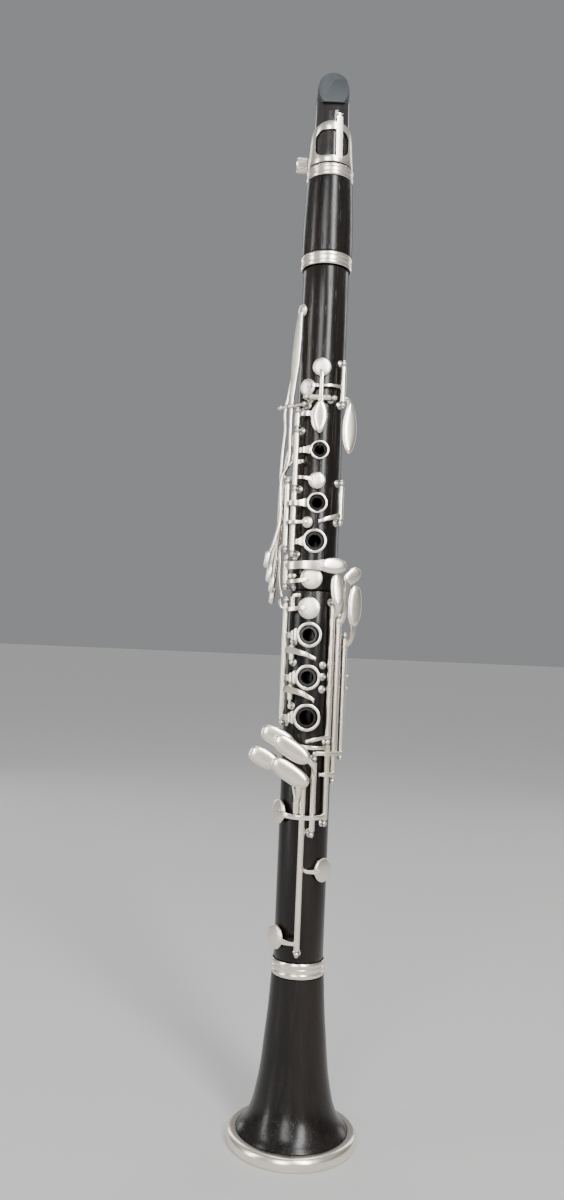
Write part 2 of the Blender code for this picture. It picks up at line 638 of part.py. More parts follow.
def right_hand_rings():
    body, line = LOWER_RADIUS, LINE_RINGS
    front = body + 1.5 + RING_HEIGHT / 2
    posts_and_rod("ring_key_posts_and_rod", body, along(line, 252.4), along(line, 326.9))
    pieces = []
    for x, height, inner, outer in ((-2.1, 306.1, 6, 7.7), (-2, 280.4, 6, 7.7), (-1.6, 256.3, 6.6, 8.3)):
        bend = (-13.4, -15.5, height - 0.5)
        pieces.append(wire([along(line, height - 0.6), bend, (x - outer + 0.9, -front, height)]))
        pieces.append(finger_ring(x, height, front, inner, outer))
    pieces.append(wire([along(line, 321.2), (-13.4, -15.6, 321.4), (-9, -17.6, 322), (-5, -17.4, 322.2)]))
    pieces.append(wire([(-12.4, -16, 321.6), (-12.6, -15.9, 330)], 0.7))
    pieces.append(wire([(-12.6, -15.9, 329.6), (-9.4, -17.1, 330)], 0.6))
    pieces.append(ball((-9.2, -17.1, 330), 1.4))
    pieces.append(wire([along(line, 321.8), (-20, -10.2, 323), (-20.4, -10, 327.4)], 0.75))
    key("right_ring_key", line, 254.4, 324.9, [*pieces, *cup(body, -9, 322.3, 6.7, OPEN_LIFT)])


def lower_sliver_keys():
    body, line = LOWER_RADIUS, LINE_SLIVERS
    posts_and_rod("lower_sliver_posts_and_rod", body, along(line, 262.6), along(line, 301.6), (), 1.4)
    for name, low, high, left, right in (
        ("upper_banana_key", 290.6, 299.6, 296.4, 291.8),
        ("lower_banana_key", 266.4, 275.6, 272.6, 266.8),
    ):
        middle = (left + right) / 2
        points = [along(line, left), (-9.6, -16.6, left - 0.6), (-4.5, -18.4, middle), (2, -18.2, right)]
        key(name, line, low, high, [wire(points, 1.2)])


def long_keys():
    body, line = LOWER_RADIUS, LINE_LONG_1
    posts_and_rod("long_line_1_posts_and_rod", body, along(line, 193.2), along(line, 326.4), (241.8,))
    stem = wire([along(line, 317), (14.6, -16, 321), (15.2, -17.2, 326)], 0.95)
    plate = touch((14.1, -17.4, 333.5), (12.7, -17.6, 343.4), 7.2, 2, (0.4, -0.9, 0), 2.1)
    foot = wire([along(line, 245), (8, -17.6, 244.6), (0, -20, 242.6)], 0.8)
    key("long_f_sharp_key", line, 243.8, 324.4, [stem, plate, foot])

    line = LINE_LONG_2
    posts_and_rod("long_line_2_posts_and_rod", body, along(line, 218.6), along(line, 318.6))
    stem = wire([along(line, 313), (18.4, -14.6, 318), (19.4, -15, 330), (20.6, -14.4, 340.5)], 0.95)
    plate = touch((22, -13.6, 342.6), (27.2, -11.6, 347.2), 7.8, 2, (0.6, -0.8, 0), 2.4)
    foot = wire([along(line, 223), (16.4, -15.4, 223), (12, -18.4, 222.9), (7, -19.6, 222.8)], 0.75)
    key("long_e_key", line, 220.6, 316.6, [stem, plate, foot])

    line = LINE_LONG_3
    posts_and_rod("long_line_3_posts_and_rod", body, along(line, 232.4), along(line, 306.6))
    stem = wire([along(line, 300), (24, -8.8, 305), (25.2, -9.7, 316)], 0.95)
    plate = touch((25.3, -9.8, 325), (25.5, -9.8, 337.4), 7.6, 2, (0.7, -0.7, 0), 2.5)
    over = [(19.2, -13.4, 235.3), (14, -17.9, 235.4), (8, -20, 235.4), (3, -20.6, 235.4)]
    foot = wire([along(line, 235.3), *over], 0.7)
    key("long_f_key", line, 234.4, 304.6, [stem, plate, foot])


def little_finger_plate(left, right, depth):
    """A sausage-shaped plate from its left end to its right end, in front view."""
    left, right = Vector((left[0], -depth, left[1])), Vector((right[0], -depth, right[1]))
    return touch((left + right) / 2, right, 9.0, 2.7, (0, -1, 0), 3.0)


def little_finger_keys():
    body, line = LOWER_RADIUS, LINE_LONG_1
    plate = little_finger_plate((-28.4, 248.2), (-8.6, 239.4), 18)
    behind = [(-12, -18.2, 240.9), (-4, -19.2, 239.2), (3, -19.4, 238.6), (8.5, -17.4, 238.5)]
    arm = wire([*behind, along(line, 238.5)])
    over = [(9, -19.6, 197.7), (3, -22.4, 197.4), (-6, -22.2, 197.6), (-13, -18, 198.2), (-16.4, -13, 198.5)]
    strap = wire([along(line, 197.8), *over, (-15.4, -9.2, 198.6)], 0.95)
    key("f_sharp_key", line, 195.2, 239.8, [plate, arm, strap, *cup(body, -62, 198.6, 7.2, OPEN_LIFT)])

    line = LINE_E_FLAT
    posts_and_rod("e_flat_key_posts_and_rod", body, along(line, 187), along(line, 231.9), (), 1.5)
    plate = little_finger_plate((-20.4, 243.9), (0.8, 230.8), 22.4)
    stem = wire([(-2.4, -22.4, 232.8), (2.4, -21.6, 229.4), (4.4, -20.4, 225.5), along(line, 222)], 1.1)
    down = [(1.15, -18.9, 189.6), (1.15, -18.9, 166.6), (3.6, -18.7, 164.8), (8.6, -16.2, 164.8)]
    lever = wire([along(line, 190.4), *down, (11, -13.8, 164.9)], 0.85)
    key("e_flat_key", line, 189, 229.9, [plate, stem, lever, *cup(body, 46, 165, 7.2)])

    line = LINE_CENTRE
    posts_and_rod("centre_line_posts_and_rod", body, along(line, 116.6), along(line, 219.6))
    plate = little_finger_plate((-35, 235.4), (-17.4, 226.8), 18)
    stem = wire([(-20, -18, 228.2), (-14, -19.4, 222.6), (-7, -20.1, 216.8), along(line, 215.6)])
    arm = wire([along(line, 122.6), (-6.6, -18.4, 122.8), (-11.4, -15.2, 123.4)], 0.95)
    key("e_key", line, 118.6, 217.6, [plate, stem, arm, *cup(body, -56, 124, 7.2, OPEN_LIFT)])

    line = LINE_F
    posts_and_rod("f_key_posts_and_rod", body, along(line, 197.4), along(line, 211.8), (), 1.4)
    plate = little_finger_plate((-21.4, 230.4), (0.6, 216.6), 22.6)
    curl = [(-2.6, -22.5, 219.2), (0.9, -22.4, 213), (-0.6, -22.3, 208), (-3.6, -21.6, 206)]
    stem = wire([*curl, along(line, 205.2)], 1.05)
    arm = wire([along(line, 208), (-8.6, -19.4, 211), (-9.9, -18.8, 216.4), (-8.9, -16.6, 220.4)], 0.75)
    key("f_key", line, 199.2, 210, [plate, stem, arm, *cup(body, -30, 222, 4, OPEN_LIFT)])


def thumb_rest():
    plate = box((-7, LOWER_RADIUS + GAP, 258), (7, LOWER_RADIUS + 1.9, 284))
    hook = box((-6.4, LOWER_RADIUS + 1, 268.4), (6.4, 33, 270.8))
    lip = bar((-6.4, 33, 269.4), (6.4, 33, 269.4), 1.6, 10)
    forge("thumb_rest", PLATE, [plate, hook, lip])


bell()
lower_joint()
upper_joint()
barrel()
tenon_corks()
mouthpiece()
reed()
ligature()
throat_keys()
left_hand_rings()
thumb_ring()
register_key()
side_keys()
upper_sliver_key()
c_sharp_key()
right_hand_rings()
lower_sliver_keys()
long_keys()
little_finger_keys()
thumb_rest()
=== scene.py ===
"""A B flat soprano clarinet standing on its bell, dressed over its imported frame.

Lengths in the sections are in millimetres, as an instrument maker's drawing gives them, and
become metres where a mesh is made. +Z runs up the bore and the tone holes under the fingers
face -Y.
"""

import math

import bpy
from mathutils import Matrix, Vector


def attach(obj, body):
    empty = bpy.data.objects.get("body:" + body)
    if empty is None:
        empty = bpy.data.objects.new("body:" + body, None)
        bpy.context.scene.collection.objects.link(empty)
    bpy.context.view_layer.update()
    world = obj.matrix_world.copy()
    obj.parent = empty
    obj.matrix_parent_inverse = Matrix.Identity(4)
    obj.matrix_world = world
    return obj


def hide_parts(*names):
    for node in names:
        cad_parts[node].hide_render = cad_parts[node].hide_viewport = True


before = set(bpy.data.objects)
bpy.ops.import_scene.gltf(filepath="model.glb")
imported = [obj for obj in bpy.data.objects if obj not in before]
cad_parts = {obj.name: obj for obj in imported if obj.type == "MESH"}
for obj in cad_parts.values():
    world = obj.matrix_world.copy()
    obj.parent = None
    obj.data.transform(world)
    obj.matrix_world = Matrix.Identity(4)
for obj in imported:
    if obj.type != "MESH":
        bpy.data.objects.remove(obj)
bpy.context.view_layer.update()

# ---- camera, floor and lamps
# A portrait camera stands 0.6 m in front of the keys, level with the middle of the instrument and
# turned a little on its axis, so that the instrument leans. Tall soft lamps give its sides their
# long highlights.
camera_data = bpy.data.cameras.new("camera")
camera_data.lens = 29.3
camera_data.sensor_width = 36
camera_data.clip_start = 0.02
camera = bpy.data.objects.new("camera", camera_data)
right = Vector((0.999004, -0.013999, 0.042368))
back = Vector((-0.011907, -0.998716, -0.049232))
up = back.cross(right)
camera.matrix_world = Matrix((right, up, back)).transposed().to_4x4()
camera.matrix_world.translation = (-0.0264, -0.6072, 0.2974)
bpy.context.scene.collection.objects.link(camera)
bpy.context.scene.camera = camera

bpy.ops.mesh.primitive_plane_add(size=80, location=(0, 0, 0))
floor = bpy.context.object
floor.name = "studio_floor"
paper = bpy.data.materials.new("pale_paper")
paper.use_nodes = True
paper_shader = paper.node_tree.nodes["Principled BSDF"]
paper_shader.inputs["Base Color"].default_value = (0.32, 0.318, 0.315, 1)
paper_shader.inputs["Roughness"].default_value = 0.9
paper_shader.inputs["Emission Color"].default_value = (1, 0.99, 0.98, 1)
paper_shader.inputs["Emission Strength"].default_value = 0.22
floor.data.materials.append(paper)

middle, below_middle = (0, 0, 0.33), (0, 0, 0.3)
for name, place, aim, size, power in (
    ("window_lamp", (0.5, -1.15, 1.05), middle, (0.3, 1.4), 34),
    ("front_lamp", (-0.45, -1.4, 0.8), middle, (0.45, 1.2), 16),
    ("left_lamp", (-1.3, -0.4, 0.6), middle, (0.25, 1.3), 9),
    ("top_lamp", (0.1, 0.4, 1.9), below_middle, (1.0, 1.0), 9),
    ("back_left_lamp", (-0.9, 1.2, 0.8), middle, (0.4, 1.3), 5),
    ("back_right_lamp", (1.0, 1.0, 0.8), middle, (0.4, 1.3), 4),
):
    lamp_data = bpy.data.lights.new(name, "AREA")
    lamp_data.shape = "RECTANGLE"
    lamp_data.size, lamp_data.size_y = size
    lamp_data.energy = power
    lamp = bpy.data.objects.new(name, lamp_data)
    lamp.location = place
    lamp.rotation_euler = (Vector(place) - Vector(aim)).to_track_quat("Z", "Y").to_euler()
    bpy.context.scene.collection.objects.link(lamp)

sky_data = bpy.data.lights.new("sky_lamp", "SUN")
sky_data.energy = 0.5
sky_data.angle = math.radians(150)
sky = bpy.data.objects.new("sky_lamp", sky_data)
sky.rotation_euler = (math.radians(25), 0, math.radians(-20))
bpy.context.scene.collection.objects.link(sky)

world = bpy.data.worlds.new("studio")
world.use_nodes = True
sky_shade = world.node_tree.nodes["Background"]
sky_shade.inputs["Color"].default_value = (0.9, 0.91, 0.93, 1)
sky_shade.inputs["Strength"].default_value = 0.29
bpy.context.scene.world = world


# ---- bell
# The bell is turned from one block of blackwood, oiled and polished, and flares to its mouth. A
# plated rim is pressed over the mouth and a plated ring round the socket keeps the wood from
# splitting.
class Shade:
    """A socket of a material's nodes that can stand in a Python expression."""

    def __init__(self, tree, socket=None):
        self.tree, self.socket = tree, socket

    def make(self, kind, settings, values, output=0):
        """A node of a kind, with its settings and then the values or links of its sockets."""
        node = self.tree.nodes.new("ShaderNode" + kind)
        for name, value in settings.items():
            setattr(node, name, value)
        for key, value in values.items():
            if isinstance(value, Shade):
                self.tree.links.new(value.socket, node.inputs[key])
            else:
                node.inputs[key].default_value = value
        return Shade(self.tree, node.outputs[output])

    def maths(self, operation, first, second=0.0):
        return self.make("Math", {"operation": operation}, {0: first, 1: second})

    def __add__(self, other):
        return self.maths("ADD", self, other)

    def __radd__(self, other):
        return self.maths("ADD", other, self)

    def __sub__(self, other):
        return self.maths("SUBTRACT", self, other)

    def __rsub__(self, other):
        return self.maths("SUBTRACT", other, self)

    def __mul__(self, other):
        return self.maths("MULTIPLY", self, other)

    def __rmul__(self, other):
        return self.maths("MULTIPLY", other, self)

    def noise(self, place, scale, detail=4.0, stretch=(1, 1, 1)):
        """Noise over the place, from 0 to 1, drawn out where a stretch is below 1."""
        drawn = self.make("Mapping", {"vector_type": "POINT"}, {"Vector": place, "Scale": stretch})
        return self.make("TexNoise", {}, {"Vector": drawn, "Scale": scale, "Detail": detail})

    def ramp(self, low, high):
        """This value from 0 to 1 between two limits."""
        values = {"Value": self, "From Min": low, "From Max": high}
        return self.make("MapRange", {"clamp": True, "interpolation_type": "SMOOTHSTEP"}, values)

    def mix(self, first, second):
        """One colour turning into another as this value goes from 0 to 1."""
        return self.make("Mix", {"data_type": "RGBA"}, {0: self, 6: first, 7: second}, 2)

    def bump(self, strength, distance):
        return self.make("Bump", {}, {"Height": self, "Strength": strength, "Distance": distance})


def finish_of(name, paint, **constants):
    """A material: paint gives the sockets that vary, and the constants sit on the shader itself."""
    made = bpy.data.materials.new(name)
    made.use_nodes = True
    tree = made.node_tree
    shader = tree.nodes["Principled BSDF"]
    for key, value in constants.items():
        shader.inputs[key.replace("_", " ").title().replace("Ior", "IOR")].default_value = value
    start = Shade(tree)
    place = start.make("TexCoord", {}, {}, 3)
    for key, value in paint(start, place).items():
        tree.links.new(value.socket, shader.inputs[key])
    return made


def blackwood_paint(start, place):
    grain = start.noise(place, 420, 6, (1, 1, 0.03))
    figure = start.noise(place, 46, 4, (1, 1, 0.09))
    pores = start.noise(place, 1500, 3, (1, 1, 0.05)).ramp(0.6, 0.72)
    smear = start.noise(place, 26, 3)
    colour = figure.ramp(0.38, 0.66).mix((0.0028, 0.0024, 0.0023, 1), (0.0085, 0.0058, 0.0044, 1))
    colour = (grain.ramp(0.45, 0.7) * 0.45).mix(colour, (0.016, 0.0105, 0.0075, 1))
    colour = (pores * 0.7).mix(colour, (0.0012, 0.001, 0.001, 1))
    return {
        "Base Color": colour,
        "Roughness": 0.14 + smear * 0.12 + grain * 0.08 + pores * 0.2,
        "Normal": (grain * 0.5 - pores).bump(0.22, 0.0002),
    }


blackwood = finish_of("polished_blackwood", blackwood_paint, specular_ior_level=0.32)


def plate_paint(start, place):
    cloud = start.noise(place, 60, 5)
    blotch = start.noise(place, 210, 4)
    rub = start.noise(place, 900, 3, (1, 1, 0.15))
    turning = start.make("Attribute", {"attribute_name": "turning"}, {}, 2)
    rings = start.noise(start.make("CombineXYZ", {}, {0: turning * 9000.0}), 1.0, 2)
    cut = (turning * 100000.0).ramp(0.0, 1.0)
    colour = cloud.ramp(0.4, 0.7).mix((0.95, 0.89, 0.785, 1), (0.86, 0.785, 0.665, 1))
    colour = (blotch.ramp(0.6, 0.78) * 0.5).mix(colour, (0.6, 0.53, 0.44, 1))
    return {
        "Base Color": colour,
        "Roughness": 0.15 + cloud * 0.12 + blotch * 0.08 + cut * 0.08,
        "Normal": (rub * 0.08 + rings * cut).bump(0.2, 0.0002),
    }


nickel = finish_of("nickel_silver_plate", plate_paint, metallic=1.0)


def bare():
    bpy.ops.object.select_all(action="DESELECT")


def pick(obj):
    """Selects this object alone and makes it active."""
    bare()
    obj.select_set(True)
    bpy.context.view_layer.objects.active = obj


def settle(obj):
    """The object's place goes into its mesh."""
    pick(obj)
    bpy.ops.object.transform_apply(location=True, rotation=True, scale=True)
    return obj


def close_up(merge=True):
    """Turns the faces of the mesh in edit mode outwards, its doubles merged first, and leaves it."""
    bpy.ops.mesh.select_all(action="SELECT")
    if merge:
        bpy.ops.mesh.remove_doubles(threshold=1e-6)
    bpy.ops.mesh.normals_make_consistent(inside=False)
    bpy.ops.object.mode_set(mode="OBJECT")


def turned(profile, sides=128):
    """A ring drawn out and resized from point to point of a closed (radius, height) profile."""
    bare()
    radius, height = profile[0]
    bpy.ops.mesh.primitive_circle_add(vertices=sides, radius=radius / 1000, location=(0, 0, height / 1000))
    made = settle(bpy.context.object)
    bpy.ops.object.mode_set(mode="EDIT")
    bpy.ops.mesh.select_mode(type="VERT")
    bpy.ops.mesh.select_all(action="SELECT")
    for wide, high in [*profile[1:], profile[0]]:
        bpy.ops.mesh.extrude_region_move(TRANSFORM_OT_translate={"value": (0, 0, (high - height) / 1000)})
        grow = wide / radius
        bpy.ops.transform.resize(value=(grow, grow, 1), center_override=(0, 0, high / 1000))
        radius, height = wide, high
    close_up()
    return made


def flowing(points, steps=4):
    """More points on a smooth line through these, for a curved profile or a bent arm."""

    def between(before, start, end, after, share):
        square, cube = 2 * before - 5 * start + 4 * end - after, 3 * start - before - 3 * end + after
        return 0.5 * (2 * start + (end - before) * share + square * share**2 + cube * share**3)

    ends = [points[0], *points, points[-1]]
    made = []
    for four in zip(ends, ends[1:], ends[2:], ends[3:]):
        for step in range(steps):
            made.append(tuple(between(*values, step / steps) for values in zip(*four)))
    return [*made, points[-1]]


def apply_modifier(obj, kind, **settings):
    pick(obj)
    modifier = obj.modifiers.new(kind.lower(), kind)
    for key, value in settings.items():
        setattr(modifier, key, value)
    bpy.ops.object.modifier_apply(modifier=modifier.name)
    return obj


def carve(obj, cutters, operation="DIFFERENCE"):
    for cutter in cutters:
        apply_modifier(obj, "BOOLEAN", object=cutter, operation=operation, solver="MANIFOLD")
        bpy.data.objects.remove(cutter)
    return obj


def soften(obj, width, segments=2, angle=35):
    """A small round along the edges sharper than the angle."""
    limit = math.radians(angle)
    return apply_modifier(
        obj, "BEVEL", width=width / 1000, segments=segments, limit_method="ANGLE", angle_limit=limit
    )


def present(name, pieces, body, finish, nodes=()):
    """Joins the pieces into one named object, with its finish, on its body."""
    bare()
    for piece in pieces:
        piece.select_set(True)
    bpy.context.view_layer.objects.active = pieces[0]
    if len(pieces) > 1:
        bpy.ops.object.join()
    made = settle(bpy.context.object)
    made.name = name
    made.data.name = name
    bpy.ops.object.shade_smooth_by_angle(angle=math.radians(38))
    made.data.materials.clear()
    made.data.materials.append(finish)
    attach(made, body)
    if nodes:
        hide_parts(*nodes)
    return made


waist = [(16.1, 100.1), (16.6, 92), (17.1, 83), (17.9, 73), (18.8, 64), (19.6, 55), (20.6, 45), (21.6, 38)]
waist += [(22.9, 31), (24.1, 25.5), (25.6, 20.5), (28.0, 15.3), (30.4, 12), (32.4, 9.9), (33.7, 8.4)]
mouth = [(31.6, 0.6), (29.8, 3.4), (27.0, 9), (24.2, 14), (21.5, 20), (18.6, 28), (16.5, 36), (14.4, 46)]
mouth += [(13.0, 58), (11.8, 69), (11.0, 80), (10.4, 91)]
outline = [(14.8, 109.6), (14.8, 100.3), *flowing(waist, 3), (33.7, 1.2), (33.1, 0.5)]
outline += [*flowing(mouth, 3), (11.3, 91.2), (11.3, 109.4), (11.5, 109.7), (14.6, 109.7)]
bell = turned(outline, 160)
present("bell_wood", [bell], "bell_section", blackwood, ["bell"])

rim = [(34.1, 8.1), (34.5, 8.2), (36.6, 8.1), (37.9, 7.5), (38.8, 6.5), (39.3, 5.2), (39.4, 4.0), (39.3, 2.6)]
rim += [(38.9, 1.2), (38.3, 0.4), (37.6, 0.05), (35.2, 0.0), (34.3, 0.2), (34.1, 0.5)]
present("bell_rim_plate", [turned(rim, 160)], "bell_section", nickel, ["bell_rim_ring"])


def ferrule(inner, outer, low, high):
    """A plated ring with a bead at each end and two turned grooves between flat bands."""
    tall = high - low
    steps = (
        (0.0, 0.5), (0.05, 0.2), (0.13, 0.0), (0.24, 0.02), (0.3, 0.2), (0.33, 0.5), (0.36, 0.5), (0.4, 0.2)
    )
    outer_line = [(outer - drop, high - share * tall) for share, drop in steps]
    mirror = [(outer - drop, low + share * tall) for share, drop in reversed(steps)]
    inner_line = [(inner, low + 0.15), (inner, high - 0.15)]
    return turned([*outer_line, *mirror, (outer - 0.8, low), *inner_line, (outer - 0.8, high)])


socket_ring = ferrule(15.2, 16.3, 100.5, 109.7)
present("bell_socket_plate", [socket_ring], "bell_section", nickel, ["bell_socket_ring"])


# ---- lower joint
# The lower joint is bored and turned from one billet. Wooden chimneys are let in round the three
# finger holes, and the holes under the pads are sunk into the body with a bevelled bed for the
# pad.
def bar(start, end, radius, sides=24, end_radius=None):
    """A round bar or cone between two points."""
    bare()
    start, end = Vector(start) / 1000, Vector(end) / 1000
    tip = radius if end_radius is None else end_radius
    span = end - start
    bpy.ops.mesh.primitive_cone_add(
        vertices=sides,
        radius1=radius / 1000,
        radius2=tip / 1000,
        depth=span.length,
        location=(start + end) / 2,
        rotation=span.to_track_quat("Z", "Y").to_euler(),
    )
    return settle(bpy.context.object)


def polar(radius, degrees, height):
    """The point this far from the bore, at an angle from the front towards +X."""
    turn = math.radians(degrees)
    return Vector((radius * math.sin(turn), -radius * math.cos(turn), height))


def chimney(radius, degrees, height, wide, rise):
    return bar(polar(radius - 2.5, degrees, height), polar(radius + rise, degrees, height), wide, 48)


def sunk(radius, degrees, height, hole, bed):
    """Cutters for a tone hole and the bevelled bed of its pad."""
    reach = (polar(4.4, degrees, height), polar(radius + 6, degrees, height))
    cone = (polar(radius - 1.2, degrees, height), polar(radius + 0.8, degrees, height))
    return [bar(*reach, hole, 40), bar(*cone, hole, 40, bed)]


def pierce(wood, radius, rise, finger_holes, covered, bed):
    """Chimneys stand round the finger holes, and each covered hole has a bed for its pad."""
    stacks = [chimney(radius, turn, high, wide, rise) for turn, high, wide, _ in finger_holes]
    carve(wood, stacks, "UNION")
    cutters = []
    for turn, high, _, hole in finger_holes:
        cutters += sunk(radius + (rise + 0.5), turn, high, hole, hole + 0.8)
    for turn, high, hole in covered:
        cutters += sunk(radius, turn, high, hole, hole + bed)
    carve(wood, cutters)


body_radius = 15.2
tenon_low = 109.7 - 17.5
outline = [(14.6, 333.1), (15.0, 332.95), (15.2, 332.6), (15.2, 312), (15.2, 270), (15.2, 200), (15.2, 150)]
outline += [(15.2, 110.4), (15.0, 110.05), (14.7, 110), (11, 110), (11, tenon_low + 0.4), (10.7, tenon_low)]
outline += [(9.6, tenon_low), (7.4, 200), (7.4, 314.6), (11.9, 314.7), (11.9, 332.8), (12.2, 333.1)]
lower_wood = turned(outline)
finger_holes = ((-8, 306.1, 5.2, 3.6), (-7.5, 280.4, 5.2, 3.6), (-6, 256.3, 5.8, 4.2))
covered = ((-62, 198.6, 5), (46, 165, 5), (-56, 124, 5), (-30, 222, 2.8), (-9, 322.3, 4.2))
pierce(lower_wood, body_radius, 1.7, finger_holes, covered, 1.2)
soften(lower_wood, 0.25)
present("lower_joint_wood", [lower_wood], "lower_section", blackwood, ["lower_joint"])


# ---- upper joint
# The upper joint is a slimmer billet with tenons at both ends. Its three finger holes and the
# thumb hole stand up as chimneys, and small padded holes for the throat, side and register keys
# pierce it all round.
upper_radius = 14.4
outline = [(10.7, 553.3), (11, 552.9), (11, 535.8), (13.9, 535.8), (14.25, 535.6), (14.4, 535.2), (14.4, 500)]
outline += [(14.4, 450), (14.4, 400), (14.4, 350), (14.4, 334), (14.2, 333.6), (13.9, 333.4), (11.5, 333.4)]
outline += [(11.5, 316.3), (11.1, 315.9), (7.4, 315.9), (7.4, 553.3)]
upper_wood = turned(outline)
finger_holes = ((-1, 419.3, 4.1, 2.7), (-2, 386.7, 4.2, 3.0), (-4, 363.3, 5.2, 3.7), (180, 413, 4.2, 3))
covered = [(-3, 470.7, 2.6), (-34, 458.4, 2.6), (-4, 400.3, 2.4), (-7, 340.5, 3.2), (180, 512, 1.5)]
covered += [(-60, 508, 2.2), (-100, 490, 2.2), (-103, 428, 2.2), (-118, 420, 2.2), (-20, 374.6, 1.8)]
pierce(upper_wood, upper_radius, 1.6, finger_holes, covered, 0.9)
soften(upper_wood, 0.22)
present("upper_joint_wood", [upper_wood], "upper_section", blackwood, ["upper_joint"])


# ---- tenon corks
# Strips of bark cork are glued in shallow grooves round the tenons, sanded to fit the sockets and
# greased. They show only when the sections are drawn apart.
def cork_paint(start, place):
    grains = start.make("TexVoronoi", {"feature": "F1"}, {"Vector": place, "Scale": 900.0})
    specks = start.noise(place, 1300, 4).ramp(0.58, 0.7)
    tint = start.noise(place, 240, 3)
    colour = tint.mix((0.42, 0.27, 0.14, 1), (0.6, 0.42, 0.25, 1))
    colour = specks.mix(colour, (0.13, 0.07, 0.035, 1))
    rough, relief = 0.75 + specks * 0.2, (grains - specks).bump(0.4, 0.0002)
    return {"Base Color": colour, "Roughness": rough, "Normal": relief}


cork = finish_of("greased_cork", cork_paint)
for name, low, tenon, body in (
    ("mouthpiece_tenon_cork", 584.5, 11.0, "mouthpiece_section"),
    ("upper_tenon_cork", 538.8, 11.0, "upper_section"),
    ("middle_tenon_cork", 320.1, 11.5, "upper_section"),
):
    inner, outer = tenon + 0.06, tenon + 0.36
    outline = [(outer - 0.1, low + 11), (outer, low + 10.8), (outer, low + 5.5), (outer, low + 0.2)]
    band = turned([*outline, (outer - 0.1, low), (inner, low), (inner, low + 11)], 96)
    present(name + "_strip", [band], body, cork, [name])


# ---- barrel
# The barrel is a short waisted tube of the same wood, tapering to the mouthpiece, with a plated
# ring let in round each socket.
outline = [(13.2, 600.2), (13.6, 600), (13.6, 592.8), (14.4, 592.7), (14.55, 591.5), (14.7, 588), (15.1, 580)]
outline += [
    (15.55, 569), (15.85, 559), (15.95, 551), (15.85, 545), (15.75, 544.4), (15.0, 544.2), (15.0, 536.4)
]
outline += [
    (14.8, 536.1), (11.5, 536.1), (11.5, 554.2), (7.4, 554.4), (7.4, 581.7), (11.5, 581.9), (11.5, 600.2)
]
barrel_wood = turned(outline)
soften(barrel_wood, 0.2)
present("barrel_wood", [barrel_wood], "barrel_section", blackwood, ["barrel"])
upper_band = ferrule(13.9, 14.8, 593, 600.2)
present("barrel_upper_plate", [upper_band], "barrel_section", nickel, ["barrel_upper_ring"])
lower_band = ferrule(15.3, 16.1, 536.1, 544)
present("barrel_lower_plate", [lower_band], "barrel_section", nickel, ["barrel_lower_ring"])


# ---- mouthpiece
# The mouthpiece is moulded and faced in black ebonite: a beak sloping back to a thin tip, a flat
# table for the reed behind it, and a window into the bore. A pad of grey rubber for the teeth is
# stuck to the beak.
def ebonite_paint(start, place):
    swirl = start.noise(place, 70, 4)
    scuff = start.noise(place, 1400, 3, (1, 1, 0.2))
    colour = swirl.mix((0.008, 0.0075, 0.0075, 1), (0.02, 0.017, 0.015, 1))
    return {
        "Base Color": colour,
        "Roughness": 0.13 + swirl * 0.1 + scuff.ramp(0.55, 0.8) * 0.2,
        "Normal": scuff.bump(0.08, 0.0001),
    }


ebonite = finish_of("black_ebonite", ebonite_paint, coat_weight=0.2, coat_roughness=0.08)


def block(low, high):
    bare()
    low, high = Vector(low) / 1000, Vector(high) / 1000
    bpy.ops.mesh.primitive_cube_add(size=1, location=(low + high) / 2, scale=high - low)
    return settle(bpy.context.object)


def leaning_block(edge, degrees, reach):
    """A cutting block with one face through the edge, leaned about it, on the reach's side."""
    bare()
    bpy.ops.mesh.primitive_cube_add(size=0.08, location=(0, (edge[1] + reach) / 1000, edge[2] / 1000))
    made = settle(bpy.context.object)
    there = Matrix.Translation(Vector(edge) / 1000)
    made.data.transform(there @ Matrix.Rotation(math.radians(degrees), 4, "X") @ there.inverted())
    return made


def beak_blank(grow, low):
    """The mouthpiece's outer outline from its tip down to a height, fatter by an amount."""
    line = [(0.4, 669), (2.2, 668.5), (4.6, 666.7), (6.6, 664.2), (8.0, 661.2), (9.1, 657.4), (10.0, 652.8)]
    line += [(10.6, 648), (10.9, 642), (11.05, 635), (11.3, 628), (11.8, 618.5), (12.4, 609), (12.9, 601)]
    return [(radius + grow, height) for radius, height in line if height >= low]


foot = [(12.7, 600.65), (11.1, 600.6), (11, 583.7), (10.7, 583.3), (0.05, 583.3)]
blank = turned([(0.05, 669), *beak_blank(0, 600), *foot])
bore = bar((0, 0, 570), (0, 0, 645), 6.8, 64, 5.2)
window = block((-5.2, 0, 634), (5.2, 14, 661))
table = block((-20, 8.4, 600.8), (20, 30, 680))
carve(blank, [leaning_block((0, -12.2, 633), -26, -40), table, bore, window])
soften(blank, 0.35, 3, 30)
present("mouthpiece_ebonite", [blank], "mouthpiece_section", ebonite, ["mouthpiece"])


def rubber_paint(start, place):
    bloom = start.noise(place, 120, 4)
    grit = start.noise(place, 2200, 2)
    bitten = start.noise(place, 320, 3).ramp(0.58, 0.75)
    colour = bloom.mix((0.008, 0.012, 0.0155, 1), (0.016, 0.0225, 0.0275, 1))
    return {
        "Base Color": (bitten * 0.5).mix(colour, (0.008, 0.0105, 0.013, 1)),
        "Roughness": 0.42 + bloom * 0.2 + grit * 0.1,
        "Normal": (grit * 0.4 + bitten * 0.4).bump(0.2, 0.0002),
    }


